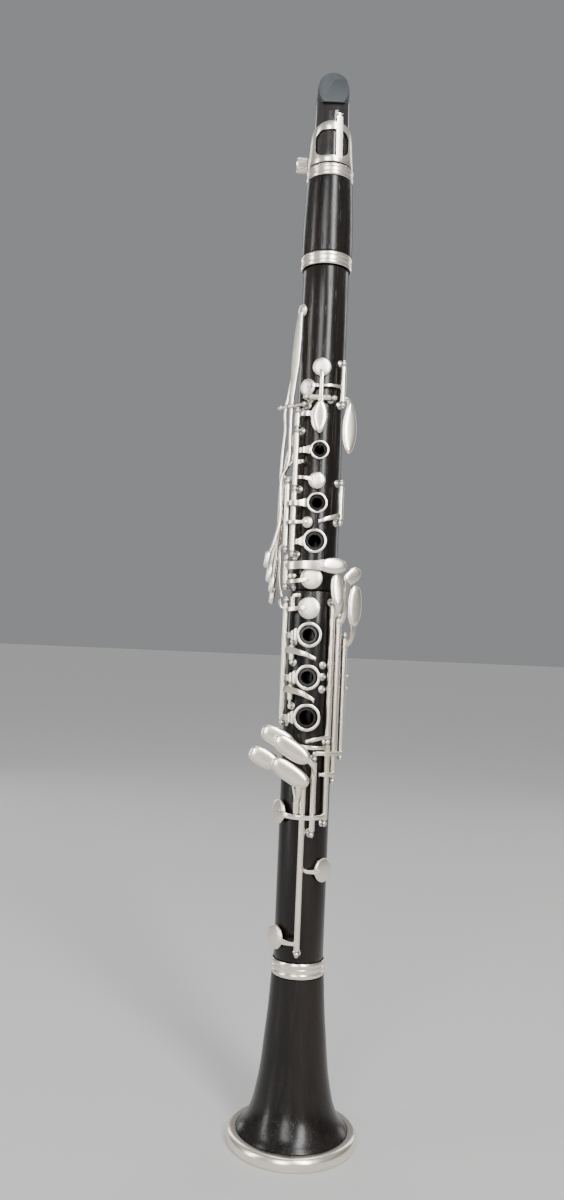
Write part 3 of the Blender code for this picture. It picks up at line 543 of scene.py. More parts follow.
rubber = finish_of("blue_grey_rubber", rubber_paint)
outer_line = beak_blank(0.5, 600)
sheet = turned([(0.05, 669.2), *outer_line, (12, 600), (0.05, 600)])
keep = leaning_block((0, -12.5, 633.15), -26, -40)
under = block((-11.1, -40, 641.5), (11.1, 40, 700))
soften(under, 4.5, 8)
carve(sheet, [leaning_block((0, -13.9, 633.1), -26, -40), block((-30, 7.2, 560), (30, 40, 700))])
carve(sheet, [keep, under], "INTERSECT")
soften(sheet, 0.5, 4, 30)
present("beak_patch_rubber", [sheet], "mouthpiece_section", rubber, ["beak_patch"])


# ---- reed
# The reed is split from cane and cut flat on the side that lies on the table. Its back keeps the
# bark up to the cut, and then slopes to a feather edge at the tip.
def cane_paint(start, place):
    fibre = start.noise(place, 1500, 4, (1, 1, 0.02))
    vein = start.noise(place, 340, 3, (1, 1, 0.03))
    height = start.make("SeparateXYZ", {}, {0: place}, 2)
    vamp = height.ramp(0.631, 0.633)
    colour = vein.mix((0.72, 0.55, 0.27, 1), (0.83, 0.68, 0.4, 1))
    bark = (fibre * 0.5).mix(colour, (0.6, 0.4, 0.14, 1))
    cut = (fibre * 0.4).mix((0.86, 0.74, 0.5, 1), colour)
    return {
        "Base Color": vamp.mix(bark, cut),
        "Roughness": 0.36 + vamp * 0.22 + fibre * 0.15,
        "Normal": fibre.bump(0.25, 0.0002),
    }


cane = finish_of("split_cane", cane_paint)
reed_blank = bar((0, 2.5, 601.2), (0, 2.5, 668.2), 9.0, 96)
sides = [block((6.3, -20, 590), (30, 40, 680)), block((-30, -20, 590), (-6.3, 40, 680))]
flat = block((-30, -20, 590), (30, 8.7, 680))
bare()
bpy.ops.mesh.primitive_cube_add(size=0.06, location=(0, 0.0415, 0.662))
slope = settle(bpy.context.object)
hinge = Matrix.Translation((0, 0.0115, 0.632))
slope.data.transform(hinge @ Matrix.Rotation(math.radians(3.6), 4, "X") @ hinge.inverted())
round_tip = bar((0, -5, 657), (0, 30, 657), 11.2, 96)
carve(round_tip, [block((-30, -20, 590), (30, 40, 657))], "UNION")
carve(reed_blank, [*sides, flat, slope])
carve(reed_blank, [round_tip], "INTERSECT")
soften(reed_blank, 0.12)
present("reed_cane", [reed_blank], "mouthpiece_section", cane, ["reed"])


# ---- ligature
# A band of plated sheet, wider at its foot, holds the reed. It has a rounded window in front, on
# the side away from the reed, a soldered strap up its front, and two lugs behind that a screw
# with a knurled head draws together.
def arm(points, across=(0, 0, 1), thick=1.6, steps=6):
    """A forged arm with round edges through (x, y, z, width) points, its width along a direction."""
    turn = Vector(across).normalized().to_track_quat("Z", "Y").to_matrix().to_4x4()
    curve = bpy.data.curves.new("arm", "CURVE")
    curve.dimensions = "3D"
    curve.twist_mode = "Z_UP"
    curve.resolution_u = steps
    curve.bevel_depth = thick / 2000
    curve.bevel_resolution = 3
    curve.use_fill_caps = True
    spline = curve.splines.new("BEZIER")
    spline.bezier_points.add(len(points) - 1)
    for knot, point in zip(spline.bezier_points, points):
        knot.co = turn.inverted() @ (Vector(point[:3]) / 1000)
        knot.handle_left_type = knot.handle_right_type = "AUTO"
    made = bpy.data.objects.new("arm", curve)
    bpy.context.scene.collection.objects.link(made)
    pick(made)
    bpy.ops.object.convert(target="MESH")
    mesh = made.data
    rings = (len(points) - 1) * steps + 1
    sides = len(mesh.vertices) // (rings + 2)
    widened = {}
    for ring in range(rings):
        knot, share = divmod(ring, steps)
        after = points[min(knot + 1, len(points) - 1)]
        wide = points[knot][3] + (after[3] - points[knot][3]) * share / steps
        row = mesh.vertices[ring * sides : (ring + 1) * sides]
        middle = sum((vertex.co for vertex in row), Vector()) / sides
        for vertex in row:
            key = tuple(round(value, 7) for value in vertex.co)
            reach = vertex.co.z - middle.z
            spare = (wide - thick) / 2000
            vertex.co.z += math.copysign(spare, reach) if abs(reach) > thick * 2e-5 else 0
            widened[key] = vertex.co.z
    for vertex in mesh.vertices[rings * sides :]:
        vertex.co.z = widened.get(tuple(round(value, 7) for value in vertex.co), vertex.co.z)
    mesh.transform(turn)
    bpy.ops.object.mode_set(mode="EDIT")
    close_up()
    return made


screw_height = 612.4
band = [(11.7, 630.9), (12.0, 631), (12.15, 630.8), (12.35, 628.5), (12.6, 626), (13.3, 616), (14.0, 606)]
band += [(14.15, 604), (14.15, 602), (13.9, 601.4), (13.5, 601.4), (13.4, 601.7), (13.4, 606)]
band += [(12.0, 626), (11.6, 630.6)]
frame_band = turned(band, 144)
window = block((-10.3, -34, 605.3), (10.3, 2, 622.5))
soften(window, 5.2, 12)
rear_slope = block((-20, -2, 590), (20, 30, 601.3))
for vertex in rear_slope.data.vertices:
    if vertex.co.y > 0 and vertex.co.z > 0.6:
        vertex.co.z = 0.6122
carve(frame_band, [window, rear_slope, block((-2.2, 5, 590), (2.2, 30, 640))])
carve(frame_band, [bar((0, -20, 608.2), (0, 20, 608.2), 20.0, 160)], "INTERSECT")
foot, head = screw_height - 3.5, screw_height + 3.5
lugs = [block((side - 1.3, 11.6, foot), (side + 1.3, 17.6, head)) for side in (-4.2, 4.2)]
for lug in lugs:
    soften(lug, 0.9, 4)
carve(frame_band, lugs, "UNION")
carve(frame_band, [bar((-15, 15.6, screw_height), (15, 15.6, screw_height), 1.5, 32)])
soften(frame_band, 0.18)
strip = [
    (4.5, -13.35, 603.2, 4.5), (4.45, -13.0, 609, 4.5), (4.35, -12.3, 619, 4.5), (4.25, -11.75, 627, 4.5)
]
strip = arm([*strip, (4.2, -11.6, 633.2, 4.3)], (1, 0.3, 0), 1.1)
present("ligature_band", [frame_band, strip], "mouthpiece_section", nickel, ["ligature"])

shank = bar((-14.5, 15.6, screw_height), (8.4, 15.6, screw_height), 1.1, 24)
barrel_head = bar((-20.9, 15.6, screw_height), (-14.9, 15.6, screw_height), 4.9, 80)
for index, vertex in enumerate(barrel_head.data.vertices):
    away = Vector((0, vertex.co.y - 0.0156, vertex.co.z - screw_height / 1000))
    vertex.co -= away * (0.06 if index // 2 % 2 else 0.0)
collars = [
    bar((-21.6, 15.6, screw_height), (-20.7, 15.6, screw_height), 4.2, 64, 4.95),
    bar((-15.1, 15.6, screw_height), (-14.2, 15.6, screw_height), 4.95, 64, 4.2),
]
screw = [barrel_head, *collars, shank]
present("ligature_screw_knurled", screw, "ligature_screw", nickel, ["ligature_screw"])


# ---- pillars and rods
# Every key turns on a steel rod between two pillars. A pillar is a turned collar, a neck and a
# drilled ball that is screwed into the wood, and a slotted pivot screw in the ball holds the
# rod's end.
def steel_paint(start, place):
    cloud = start.noise(place, 160, 4)
    rub = start.noise(place, 1100, 3, (1, 1, 0.1))
    colour = cloud.ramp(0.4, 0.7).mix((0.72, 0.69, 0.64, 1), (0.56, 0.54, 0.51, 1))
    return {"Base Color": colour, "Roughness": 0.2 + cloud * 0.16, "Normal": rub.bump(0.1, 0.0002)}


steel = finish_of("bright_rod_steel", steel_paint, metallic=1.0)


def placed(obj, origin, direction):
    """Moves a piece that was made about Z to an origin, with its +Z along a direction."""
    turn = Vector(direction).to_track_quat("Z", "Y").to_matrix().to_4x4()
    obj.data.transform(Matrix.Translation(Vector(origin) / 1000) @ turn)
    return obj


def at(line, height):
    return (line[0], line[1], height)


slotted = bar((0, 0, -0.3), (0, 0, 0.45), 1.0, 28)
soften(slotted, 0.12)
carve(slotted, [block((-1.5, -0.14, 0.15), (1.5, 0.14, 1))])
slotted.name = slotted.data.name = "slotted_end"
slotted_mesh = slotted.data.copy()
bpy.data.objects.remove(slotted)


def copied(mesh):
    made = bpy.data.objects.new("copy", mesh.copy())
    bpy.context.scene.collection.objects.link(made)
    return made


def pillar(head, wood, ball):
    """A turned pillar from the wood out to its ball."""
    head = Vector(head)
    outward = Vector((head.x, head.y, 0)).normalized()
    foot = outward * (wood + 0.05)
    foot.z = head.z
    reach = (head - foot).length
    line = [(0.03, -0.4), (2.0, -0.4), (2.35, -0.05), (2.35, 0.35), (2.1, 0.6), (1.45, 0.85)]
    if reach > 2.4:
        line += [(1.1, 1.3), (1.0, max(1.4, reach * 0.5)), (1.15, reach - ball * 0.93)]
    for step in range(2, 10):
        turn = math.radians(-90 + 20 * step)
        line.append((ball * math.cos(turn), reach + ball * math.sin(turn)))
    line = [line[0], *sorted(line[1:], key=lambda point: point[1])] + [(0.03, reach + ball)]
    return placed(turned(line, 28), foot, outward)


def posts(name, body, wood, start, end, between=(), ball=1.7, split=False):
    """A rod with its pillars and slotted screws. A split one has no rod in its middle."""
    start, end = Vector(start), Vector(end)
    inside = [Vector((start.x, start.y, height)) for height in between]
    pieces = [pillar(head, wood, ball) for head in (start, *inside, end)]
    stops = [start, *inside, end] if split else [start, end]
    pieces += [bar(first, last, 0.85, 24) for first, last in zip(stops[::2], stops[1::2])]
    direction = (end - start).normalized()
    for head, way in ((start, -direction), (end, direction)):
        pieces.append(placed(copied(slotted_mesh), head + way * (ball - 0.25), way))
    node = name + "_posts_and_rod"
    present(name + "_pillars", pieces, body, steel, [node])


inner_line, outer_line = (-14.3, -12.3), (-18.6, -7.8)
c_sharp_line, g_sharp_line = (-17.6, -11.0), (12.9, -11.5)
upper_sliver_line, thumb_line = (14.2, -11.3), (12.6, 12.6)
ring_line, sliver_line = (-16.6, -10.0), (-12.0, -12.6)
long_lines = ((11.7, -13.2), (15.8, -11.3), (20.2, -6.5))
centre_line, e_flat_line, f_line = (-2.0, -18.8), (4.0, -18.3), (-5.8, -18.4)
a_rod = ((-9.9, -18.5, 451), (7.1, -18.5, 451))
register_rod = ((-5.6, 18.5, 470), (5.6, 18.5, 470))
side_upper_rod = ((-10.8, -15.6, 447.2), (-25.06, -2.45, 447.2))
side_lower_rod = ((-20.8, 1.2, 404), (-20.8, 13.6, 404))
for name, start, end, between, ball in (
    ("a_key", *a_rod, (), 1.7),
    ("g_sharp_key", at(g_sharp_line, 448.6), at(g_sharp_line, 474.6), (), 1.7),
    ("inner_line", at(inner_line, 355.2), at(inner_line, 443.9), (395.4, 431.8), 1.5),
    ("outer_line", at(outer_line, 358.4), at(outer_line, 400.6), (), 1.7),
    ("thumb_ring", at(thumb_line, 404.4), at(thumb_line, 421.6), (), 1.7),
    ("register_key", *register_rod, (), 1.7),
    ("side_key_upper", *side_upper_rod, (), 1.7),
    ("side_key_lower", *side_lower_rod, (), 1.7),
    ("upper_sliver", at(upper_sliver_line, 375.6), at(upper_sliver_line, 400), (), 1.7),
    ("c_sharp_key", at(c_sharp_line, 335.1), at(c_sharp_line, 352.6), (), 1.7),
):
    posts(name, "upper_section", upper_radius, start, end, between, ball)
for name, line, low, high, between, ball, split in (
    ("ring_key", ring_line, 252.4, 326.9, (), 1.7, False),
    ("lower_sliver", sliver_line, 262.6, 301.6, (277.2, 288.9), 1.4, True),
    ("long_line_1", long_lines[0], 193.2, 326.4, (241.8,), 1.7, False),
    ("long_line_2", long_lines[1], 218.6, 318.6, (), 1.7, False),
    ("long_line_3", long_lines[2], 232.4, 306.6, (), 1.7, False),
    ("e_flat_key", e_flat_line, 187, 231.9, (), 1.5, False),
    ("centre_line", centre_line, 116.6, 219.6, (), 1.7, False),
    ("f_key", f_line, 197.4, 211.8, (), 1.4, False),
):
    posts(name, "lower_section", body_radius, at(line, low), at(line, high), between, ball, split)

spring_pillars = [pillar(head, body_radius, 1.15) for head in (
    (8.0, -15.6, 288), (8.0, -15.6, 281), (8.0, -15.6, 273.4), (22.9, -2.4, 281.8), (22.9, -2.4, 274.4),
)]
present("long_line_spring_pillars", spring_pillars, "lower_section", steel)


# ---- throat keys
# The two keys at the top of the upper joint are forged in nickel silver and plated. Each has a
# turned tube on its rod, a padded cup over its hole and a flat finger touch, and the cream skin
# pads are set in the cups with shellac.
def skin_paint(start, place):
    wrinkle = start.noise(place, 900, 4)
    colour = wrinkle.mix((0.78, 0.7, 0.54, 1), (0.9, 0.85, 0.74, 1))
    return {"Base Color": colour, "Roughness": 0.5 + wrinkle * 0.25, "Normal": wrinkle.bump(0.2, 0.0002)}


pad_skin = finish_of("cream_pad_skin", skin_paint)


def tube(start, end, radius=1.8):
    """A key's hollow tube, its ends faced and slightly rounded."""
    start, end = Vector(start), Vector(end)
    long = (end - start).length
    line = [(1.25, 0.0), (radius - 0.2, 0.0), (radius, 0.25), (radius, long * 0.5), (radius, long - 0.25)]
    return placed(turned([*line, (radius - 0.2, long), (1.25, long)], 28), start, end - start)


def sleeve(line, low, high):
    """A tube upright on a rod's line."""
    return tube(at(line, low), at(line, high))


# A pad that stands open at rest is held this far off the wood.
open_lift = 1.7


def cup(wood, degrees, height, radius, lift=0.4):
    """A shallow domed cup, turned in the lathe, and the pad in it."""
    line = [
        (0.03, 2.8), (radius * 0.2, 2.78), (radius * 0.42, 2.7), (radius * 0.62, 2.54), (radius * 0.78, 2.32)
    ]
    line += [
        (radius * 0.9, 2.05), (radius - 0.18, 1.82), (radius, 1.55), (radius, 0.95), (radius - 0.12, 0.8)
    ]
    line += [(radius - 0.5, 0.8), (radius - 0.6, 1.2), (0.03, 1.2)]
    shell = turned(line, 64)
    marks = shell.data.attributes.new("turning", "FLOAT", "POINT")
    for vertex, mark in zip(shell.data.vertices, marks.data):
        mark.value = math.hypot(vertex.co.x, vertex.co.y) + 0.00002
    sunk_pad = 0.0 if lift > 1 else -0.15
    line = [(0.03, 1.15), (radius - 0.7, 1.15), (radius - 0.62, 0.7), (radius - 0.75, sunk_pad + 0.12)]
    line += [(radius - 1.1, sunk_pad), (radius - 2.0, sunk_pad + 0.05), (0.03, sunk_pad + 0.08)]
    pad = turned(line, 48)
    origin, outward = polar(wood + lift, degrees, height), polar(1, degrees, 0)
    return placed(shell, origin, outward), placed(pad, origin, outward)


def plate(centre, tip, width, thick, normal, square=2.0, taper=0.0):
    """A domed finger plate. A square above 2 fills out its ends, and a taper narrows its tip."""
    centre, tip, normal = Vector(centre), Vector(tip), Vector(normal).normalized()
    long = (tip - centre).length
    forward = (tip - centre).normalized()
    normal = (normal - forward * normal.dot(forward)).normalized()
    bare()
    bpy.ops.mesh.primitive_circle_add(vertices=64, radius=1, fill_type="NGON", location=(0, 0, 0))
    made = settle(bpy.context.object)
    layers = (
        (-0.5, 0.72), (-0.42, 0.88), (-0.26, 0.97), (-0.06, 1.0), (0.12, 0.97), (0.27, 0.88), (0.38, 0.74)
    )
    layers += ((0.45, 0.56), (0.49, 0.34), (0.5, 0.12))
    for vertex in made.data.vertices:
        along_it, over = vertex.co.x, vertex.co.y
        along_it = math.copysign(abs(along_it) ** (2 / square), along_it)
        over = math.copysign(abs(over) ** (2 / square), over) * (1 - taper * along_it)
        inset = width / 2 * (1 - layers[0][1])
        corner = (along_it * (long - inset), over * (width / 2 - inset), layers[0][0] * thick)
        vertex.co = Vector(corner) / 1000
    bpy.ops.object.mode_set(mode="EDIT")
    bpy.ops.mesh.select_mode(type="FACE")
    bpy.ops.mesh.select_all(action="SELECT")
    for (rise, share), (next_rise, next_share) in zip(layers, layers[1:]):
        before, after = width / 2 * (1 - share), width / 2 * (1 - next_share)
        grow = ((long - after) / (long - before), (width / 2 - after) / (width / 2 - before), 1)
        up_by = (next_rise - rise) * thick / 1000
        bpy.ops.mesh.extrude_region_move(TRANSFORM_OT_translate={"value": (0, 0, up_by)})
        bpy.ops.transform.resize(value=grow, center_override=(0, 0, next_rise * thick / 1000))
    close_up(merge=False)
    basis = Matrix((forward, normal.cross(forward), normal)).transposed().to_4x4()
    made.data.transform(Matrix.Translation(centre / 1000) @ basis)
    return made


def ring(centre_x, height, front, inner, outer, side=-1):
    """A finger ring with its edges rounded for the fingertip."""
    line = [(inner + 0.3, 0.55), (outer - 0.35, 0.55), (outer - 0.1, 0.42), (outer, 0.15), (outer, -0.35)]
    line += [(outer - 0.2, -0.55), (inner + 0.1, -0.55), (inner, -0.4), (inner, 0.2), (inner + 0.1, 0.45)]
    return placed(turned(line, 80), (centre_x, side * front, height), (0, side, 0))


def key(name, pieces, cups=(), body=None):
    """A key joined from its forged pieces and cups, with the pads as a piece of their own."""
    shells, pads = [shell for shell, _ in cups], [pad for _, pad in cups]
    present(name + "_forged", [*pieces, *shells], name, nickel, [name])
    if pads:
        present(name + "_pads", pads, name, pad_skin)


lever = [
    (-0.9, -17.5, 468.6, 3.6), (-0.9, -18.7, 465.4, 2.6), (-0.9, -19.6, 461, 2.2), (-0.9, -19.7, 455, 2.2)
]
lever += [(-0.9, -19.6, 449, 2.6), (-1.0, -19.9, 444.6, 4.2), (-1.0, -20.0, 440, 6)]
touch = plate((-1.0, -20.0, 439.0), (-1.0, -19.7, 428.8), 9.2, 2.1, (0, -1, 0), 1.75, 0.1)
pieces = [tube((-7.6, -18.5, 451), (4.9, -18.5, 451)), arm(lever, (1, 0, 0), 1.5), touch]
key("throat_a_key", pieces, [cup(upper_radius, -3, 470.7, 5.7)])

line = g_sharp_line
under = [(*line, 459.6, 2.6), (9, -14.4, 459.6, 2.2), (4, -16.3, 459.4, 2.0), (-1, -16.5, 459, 2.0)]
under += [(-5.5, -16.6, 458.8, 2.4), (-8.8, -15.0, 458.5, 3.4)]
stem = [(*line, 453.5, 2.6), (16.2, -12.4, 451.8, 2.6), (17.4, -13.0, 447.5, 3.4), (17.6, -13.0, 442, 5.5)]
touch = plate((17.6, -13.2, 434.0), (17.6, -13.2, 418), 9.6, 2.2, (0.3, -0.95, 0), 1.8, -0.05)
pieces = [sleeve(line, 450.6, 472.6), arm(under, thick=1.4), arm(stem, (1, 0.45, 0), 1.7), touch]
key("throat_g_sharp_key", pieces, [cup(upper_radius, -34, 458.4, 5.2)])


# ---- left hand keys
# Two rods run up the left of the upper joint. The inner one carries the link under the A key, the
# first ring and the third ring, and the outer one carries the second ring and the bridge to the
# lower joint.
def peg(place, radius=1.4):
    """A ball-headed adjusting screw with a slot, standing on an arm, with its neck below."""
    place = Vector(place)
    outward = Vector((place.x, place.y, 0)).normalized()
    line = [(0.03, -2.2), (0.75, -2.2), (0.75, -1.1), (0.95, -0.95)]
    for step in range(6):
        turn = math.radians(-45 + 27 * step)
        line.append((radius * math.cos(turn), radius * math.sin(turn)))
    head = turned([*line, (0.03, radius)], 24)
    carve(head, [block((-3, -0.16, radius - 0.45), (3, 0.16, radius + 1))])
    return placed(head, place, outward)


ring_gap, ring_half = 1.5, 0.55
front = upper_radius + ring_gap + ring_half
line = inner_line
stem = [(*line, 441, 2.4), (-10.5, -16.4, 441.2, 2.4), (-5, -17.3, 441, 3.4), (-3, -17.4, 440, 5)]
leaf = plate((-2.2, -17.3, 438.5), (-1.6, -17.3, 430.5), 8.4, 1.1, (0, -1, 0), 2.2)
key("throat_link_key", [sleeve(line, 434, 442), arm(stem, thick=1.2), leaf])

paddle = [(*line, 418.7, 3), (-11, -16, 418.8, 3), (-8, -16.5, 419, 4), (-5.5, -front, 419.3, 5.6)]
branch = [(*line, 402.4, 2.4), (-10.5, -16.4, 402, 2.2), (-7, -17.5, 401.4, 2.2), (-2.4, -18.1, 400.5, 3)]
lug = [(*line, 411.8, 2.6), (-12, -14.7, 411.8, 2.4), (-10.4, -15.3, 411.8, 2.8)]
arms = [arm(paddle, thick=1.1), arm(branch, thick=1.3), arm(lug, thick=1.3)]
pieces = [sleeve(line, 397.3, 429.9), *arms, peg((-10.6, -16.2, 411.8))]
pieces.append(ring(-0.3, 419.3, front, 4.7, 5.9))
key("first_ring_key", pieces, [cup(upper_radius, -4, 400.3, 5.2, open_lift)])

paddle = [(*line, 362.4, 3), (-11.3, -16, 362.6, 3), (-9.4, -16.4, 362.8, 4.2), (-7.5, -front, 363.2, 6.6)]
pieces = [sleeve(line, 357.1, 393.4), arm(paddle, thick=1.1), ring(-1.1, 363.3, front, 5.9, 7.4)]
key("third_ring_key", pieces)

line = outer_line
over = [(*line, 385.9, 3), (-18.6, -13.6, 385.9, 2.8), (-15, -17.4, 385.9, 2.8), (-9.4, -17.6, 386.2, 3.6)]
paddle = arm([*over, (-6.1, -front, 386.6, 5.8)], thick=1.1)
over = [(*line, 374.2, 2.4), (-18.6, -13.6, 374.2, 2.2), (-15, -17.8, 374.2, 2.2), (-9.5, -18.8, 374.3, 2.2)]
branch = arm([*over, (-5.6, -18.6, 374.6, 2.6)], thick=1.3)
bridge = [(*line, 361.5, 2.4), (-21.3, -5.8, 359.6, 2.2), (-21.5, -5.6, 350, 2.2), (-21.4, -5.7, 338, 2.4)]
bridge = arm([*bridge, (-19.6, -7.2, 329, 3.2)], (0.5, -0.85, 0), 1.5)
pieces = [sleeve(line, 360.4, 398.6), paddle, branch, bridge]
pieces.append(ring(-0.5, 386.7, front, 5.1, 6.4))
key("second_ring_key", pieces, [cup(upper_radius, -20, 374.6, 3.5, open_lift)])


# ---- thumb ring and register key
# Behind the upper joint the thumb's ring closes with the first ring, and the register key above
# it is a lever that the thumb rocks to lift a small pad off the speaker tube.
line = thumb_line
paddle = arm([(*line, 413, 3), (9.8, 15.4, 413, 3), (7.6, 16.2, 413, 4), (5.2, front, 413, 6)], thick=1.1)
key("thumb_ring_key", [sleeve(line, 406.4, 419.6), paddle, ring(0, 413, front, 4.8, 6, 1)])

lever = [
    (0, 17.6, 511.4, 3), (0, 18.4, 507, 2.6), (0, 19.3, 500, 2.4), (0, 19.5, 485, 2.6), (0, 19.4, 470, 2.8)
]
lever += [(0.4, 19.5, 456, 2.6), (1.0, 19.6, 444, 3.4), (1.3, 19.6, 437, 5)]
touch = plate((1.4, 19.5, 435), (1.7, 19.3, 427), 7, 1.8, (0, 1, 0), 2.1, -0.15)
pieces = [tube((-3.5, 18.5, 470), (3.5, 18.5, 470)), arm(lever, (1, 0, 0), 1.7), touch]
key("register_key", pieces, [cup(upper_radius, 180, 512, 3.4)])


# ---- side keys
# Four long levers for the first finger of the right hand are bent from flat strap and lie close
# together down the left side. Each ends in a small narrow touch, and lifts a pad above or beside
# its rod.
slanted, flat = (0.72, -0.69, 0), (0.3, -0.95, 0)
for name, (first, last), along_rod, across, (degrees, height, radius), foot, path in (
    (
        "side_key_1", side_upper_rod, 10.6, slanted, (-62, 508, 4.2), (-29.6, -8.4, 351.5),
        [(-15.2, -8.6, 506, 3.6), (-15.7, -8.9, 498, 4.6), (-16.4, -9, 486, 6.2), (-17.2, -8.9, 470, 6.4),
         (-18.3, -8.5, 455, 4.6), (-18.6, -8.4, 441, 2.8), (-18.6, -8.5, 428, 2.4), (-19.2, -8.9, 411, 2.2),
         (-22.6, -7.9, 402.5, 2.2), (-23.0, -7.6, 392, 2.4), (-22.8, -7.4, 377, 2.6), (-25.4, -7.8, 364, 2.6),
         (-28.6, -8.2, 354, 2.6)],
    ),
    (
        "side_key_2", side_upper_rod, 14.2, flat, (-98, 492, 4.2), (-28.0, -3.4, 343),
        [(-16.9, 1.9, 491, 2.6), (-17.6, 0.6, 484, 2.4), (-18.6, -2.6, 468, 2.4), (-20.4, -5.2, 455, 2.4),
         (-22.2, -5.7, 443.5, 2.4), (-21.6, -4.6, 434, 2.4), (-22.6, -3.6, 420, 2.4), (-23.3, -3, 395, 2.6),
         (-23.5, -3, 374, 2.6), (-25.4, -3.1, 359, 2.6), (-27.2, -3.2, 347, 2.6)],
    ),
    (
        "side_key_3", side_lower_rod, 3.6, flat, (-103, 428, 4.2), (-26.0, 1.6, 337),
        [(-16.6, 3.9, 427, 2.6), (-18.4, 4.4, 422.8, 2.4), (-20.4, 4.8, 412.5, 2.4), (-20.9, 4.8, 404, 2.4),
         (-21.0, 4.4, 394, 2.4), (-22.2, 2.7, 376, 2.6), (-23.6, 2.1, 358, 2.6), (-25.2, 1.8, 340, 2.6)],
    ),
    (
        "side_key_4", side_lower_rod, 7.9, flat, (-118, 418, 4.2), (-25.4, 6.0, 330),
        [(-15, 8, 417.4, 2.6), (-17.2, 8.8, 414.6, 2.4), (-20.2, 9.1, 409.5, 2.4), (-20.9, 9.1, 403, 2.4),
         (-20.9, 8.8, 394, 2.4), (-21.7, 6.9, 372, 2.6), (-23.2, 6.4, 353, 2.6), (-24.8, 6.2, 334, 2.6)],
    ),
):
    rod = (Vector(last) - Vector(first)).normalized()
    start, end = (Vector(first) + rod * (along_rod + half) for half in (-1.3, 1.3))
    tip = Vector(foot) - Vector((0.6, 0, 5.2))
    touch = plate(foot, tip, 4.0, 3.3, (-1, 0, 0), 2.4)
    key(name, [tube(start, end), arm(path, across, 1.5), touch], [cup(upper_radius, degrees, height, radius)])


# ---- sliver key and C sharp key of the upper joint
# The sliver key at the right is a slim curved lever between the second and third rings. The C
# sharp key crosses the foot of the upper joint on a broad curved strap to its flat touch at the
# right.
line = upper_sliver_line
blade = [(*line, 379.6, 3.4), (12.4, -14.4, 379.4, 3.4), (9.6, -16.2, 378.4, 3.2), (5.5, -17.6, 377, 3.0)]
blade = arm([*blade, (2.6, -17.9, 375.8, 2.6), (0.9, -17.7, 375.2, 2.0)], thick=1.7)
key("upper_sliver_key", [sleeve(line, 377.6, 398), blade])

line = c_sharp_line
strap = [(*line, 347.8, 3.6), (-17.0, -13.8, 347.8, 4.2), (-14.6, -16.8, 347.8, 4.8), (-9, -19.8, 348.2, 5)]
strap += [(-3.5, -20.8, 348.3, 5.2), (2.5, -20.7, 348.4, 5.8), (7, -20.2, 348.4, 7.4)]
touch = plate((10.8, -19.4, 348.4), (18.8, -17.4, 348.6), 9.4, 2.4, (0.25, -1, 0), 2.4)
branch = [(*line, 338.2, 2.8), (-16, -13.6, 338.2, 2.6), (-12.4, -16.8, 338.4, 2.6), (-7, -18.5, 339.2, 2.8)]
branch = arm([*branch, (-3.4, -19.0, 340.2, 3.4)], thick=1.4)
lug = arm([(*line, 341.6, 2.4), (-14.8, -14.4, 341.6, 2.4), (-12.4, -15.4, 341.6, 2.8)], thick=1.3)
pieces = [sleeve(line, 337.1, 350.6), arm(strap, thick=1.5), touch, branch, lug]
key("c_sharp_key", [*pieces, peg((-12.5, -16.2, 341.6))], [cup(upper_radius, -7, 340.5, 6.7, open_lift)])


# ---- right hand rings
# Three rings on one long tube lie round the lower joint's finger holes and close the cup at its
# top. A bridge reaches up over the joint between the sections and carries the upper joint's
# middle ring with it.
front, line = body_radius + ring_gap + ring_half, ring_line
pieces = [sleeve(line, 254.4, 324.9)]
for x, height, inner, outer in ((-2.1, 306.1, 6, 7.7), (-2, 280.4, 6, 7.7), (-1.6, 256.3, 6.6, 8.3)):
    over = [(*line, height - 0.6, 3.2), (-15.4, -13.0, height - 0.6, 3.2), (-13.2, -15.4, height - 0.5, 3.6)]
    over += [(x - outer - 1.6, -front + 0.4, height - 0.2, 5.4), (x - outer + 1.0, -front, height, 8.2)]
    pieces += [arm(over, thick=1.1), ring(x, height, front, inner, outer)]
over = [(*line, 321.2, 3), (-15.6, -13.6, 321.3, 2.8), (-13.2, -16, 321.4, 2.8), (-9, -18.6, 322, 2.8)]
pieces.append(arm([*over, (-4.4, -19.7, 322.3, 3.6)], thick=1.4))
rise = [(-12.6, -16.3, 321.6, 2.2), (-12.8, -16.0, 326, 2.2), (-12.2, -16.1, 329.6, 2.4)]
leaf = [(-12.6, -16, 329.4, 2.2), (-10.8, -16.4, 329.9, 2.2), (-9.3, -16.6, 330, 2.6)]
bridge = [(*line, 321.8, 2.4), (-19.4, -10.3, 322.4, 2.2), (-20.3, -10.1, 324.6, 2.2)]
bridge = arm([*bridge, (-20.4, -10, 327.2, 2.6)], (0.4, -0.9, 0), 1.3)
pieces += [arm(rise, (1, 0, 0), 1.3), arm(leaf, thick=1.2), bridge]
key("right_ring_key", [*pieces, peg((-9.2, -17.4, 330))], [cup(body_radius, -9, 322.3, 6.7, open_lift)])


# ---- banana keys
# Two small curved levers stand between the rings, each on its own short tube on one rod.
line = sliver_line
for name, low, high, left, right_end in (
    ("upper_banana_key", 290.6, 299.6, 296.4, 291.8),
    ("lower_banana_key", 266.4, 275.6, 272.6, 266.8),
):
    middle = (left + right_end) / 2
    blade = [
        (-14.9, -14.4, left + 0.5, 4.0), (-12.2, -15.6, left, 4.2), (-9.2, -16.9, left - 0.6, 4.0),
        (-6.2, -18.0, left - 1.5, 3.7),
    ]
    blade += [(-3, -18.5, middle, 3.4), (0, -18.5, middle - 1.5, 3.0), (2.2, -18.2, right_end, 2.2)]
    key(name, [tube(at(line, low), at(line, high)), arm(blade, thick=1.9)])


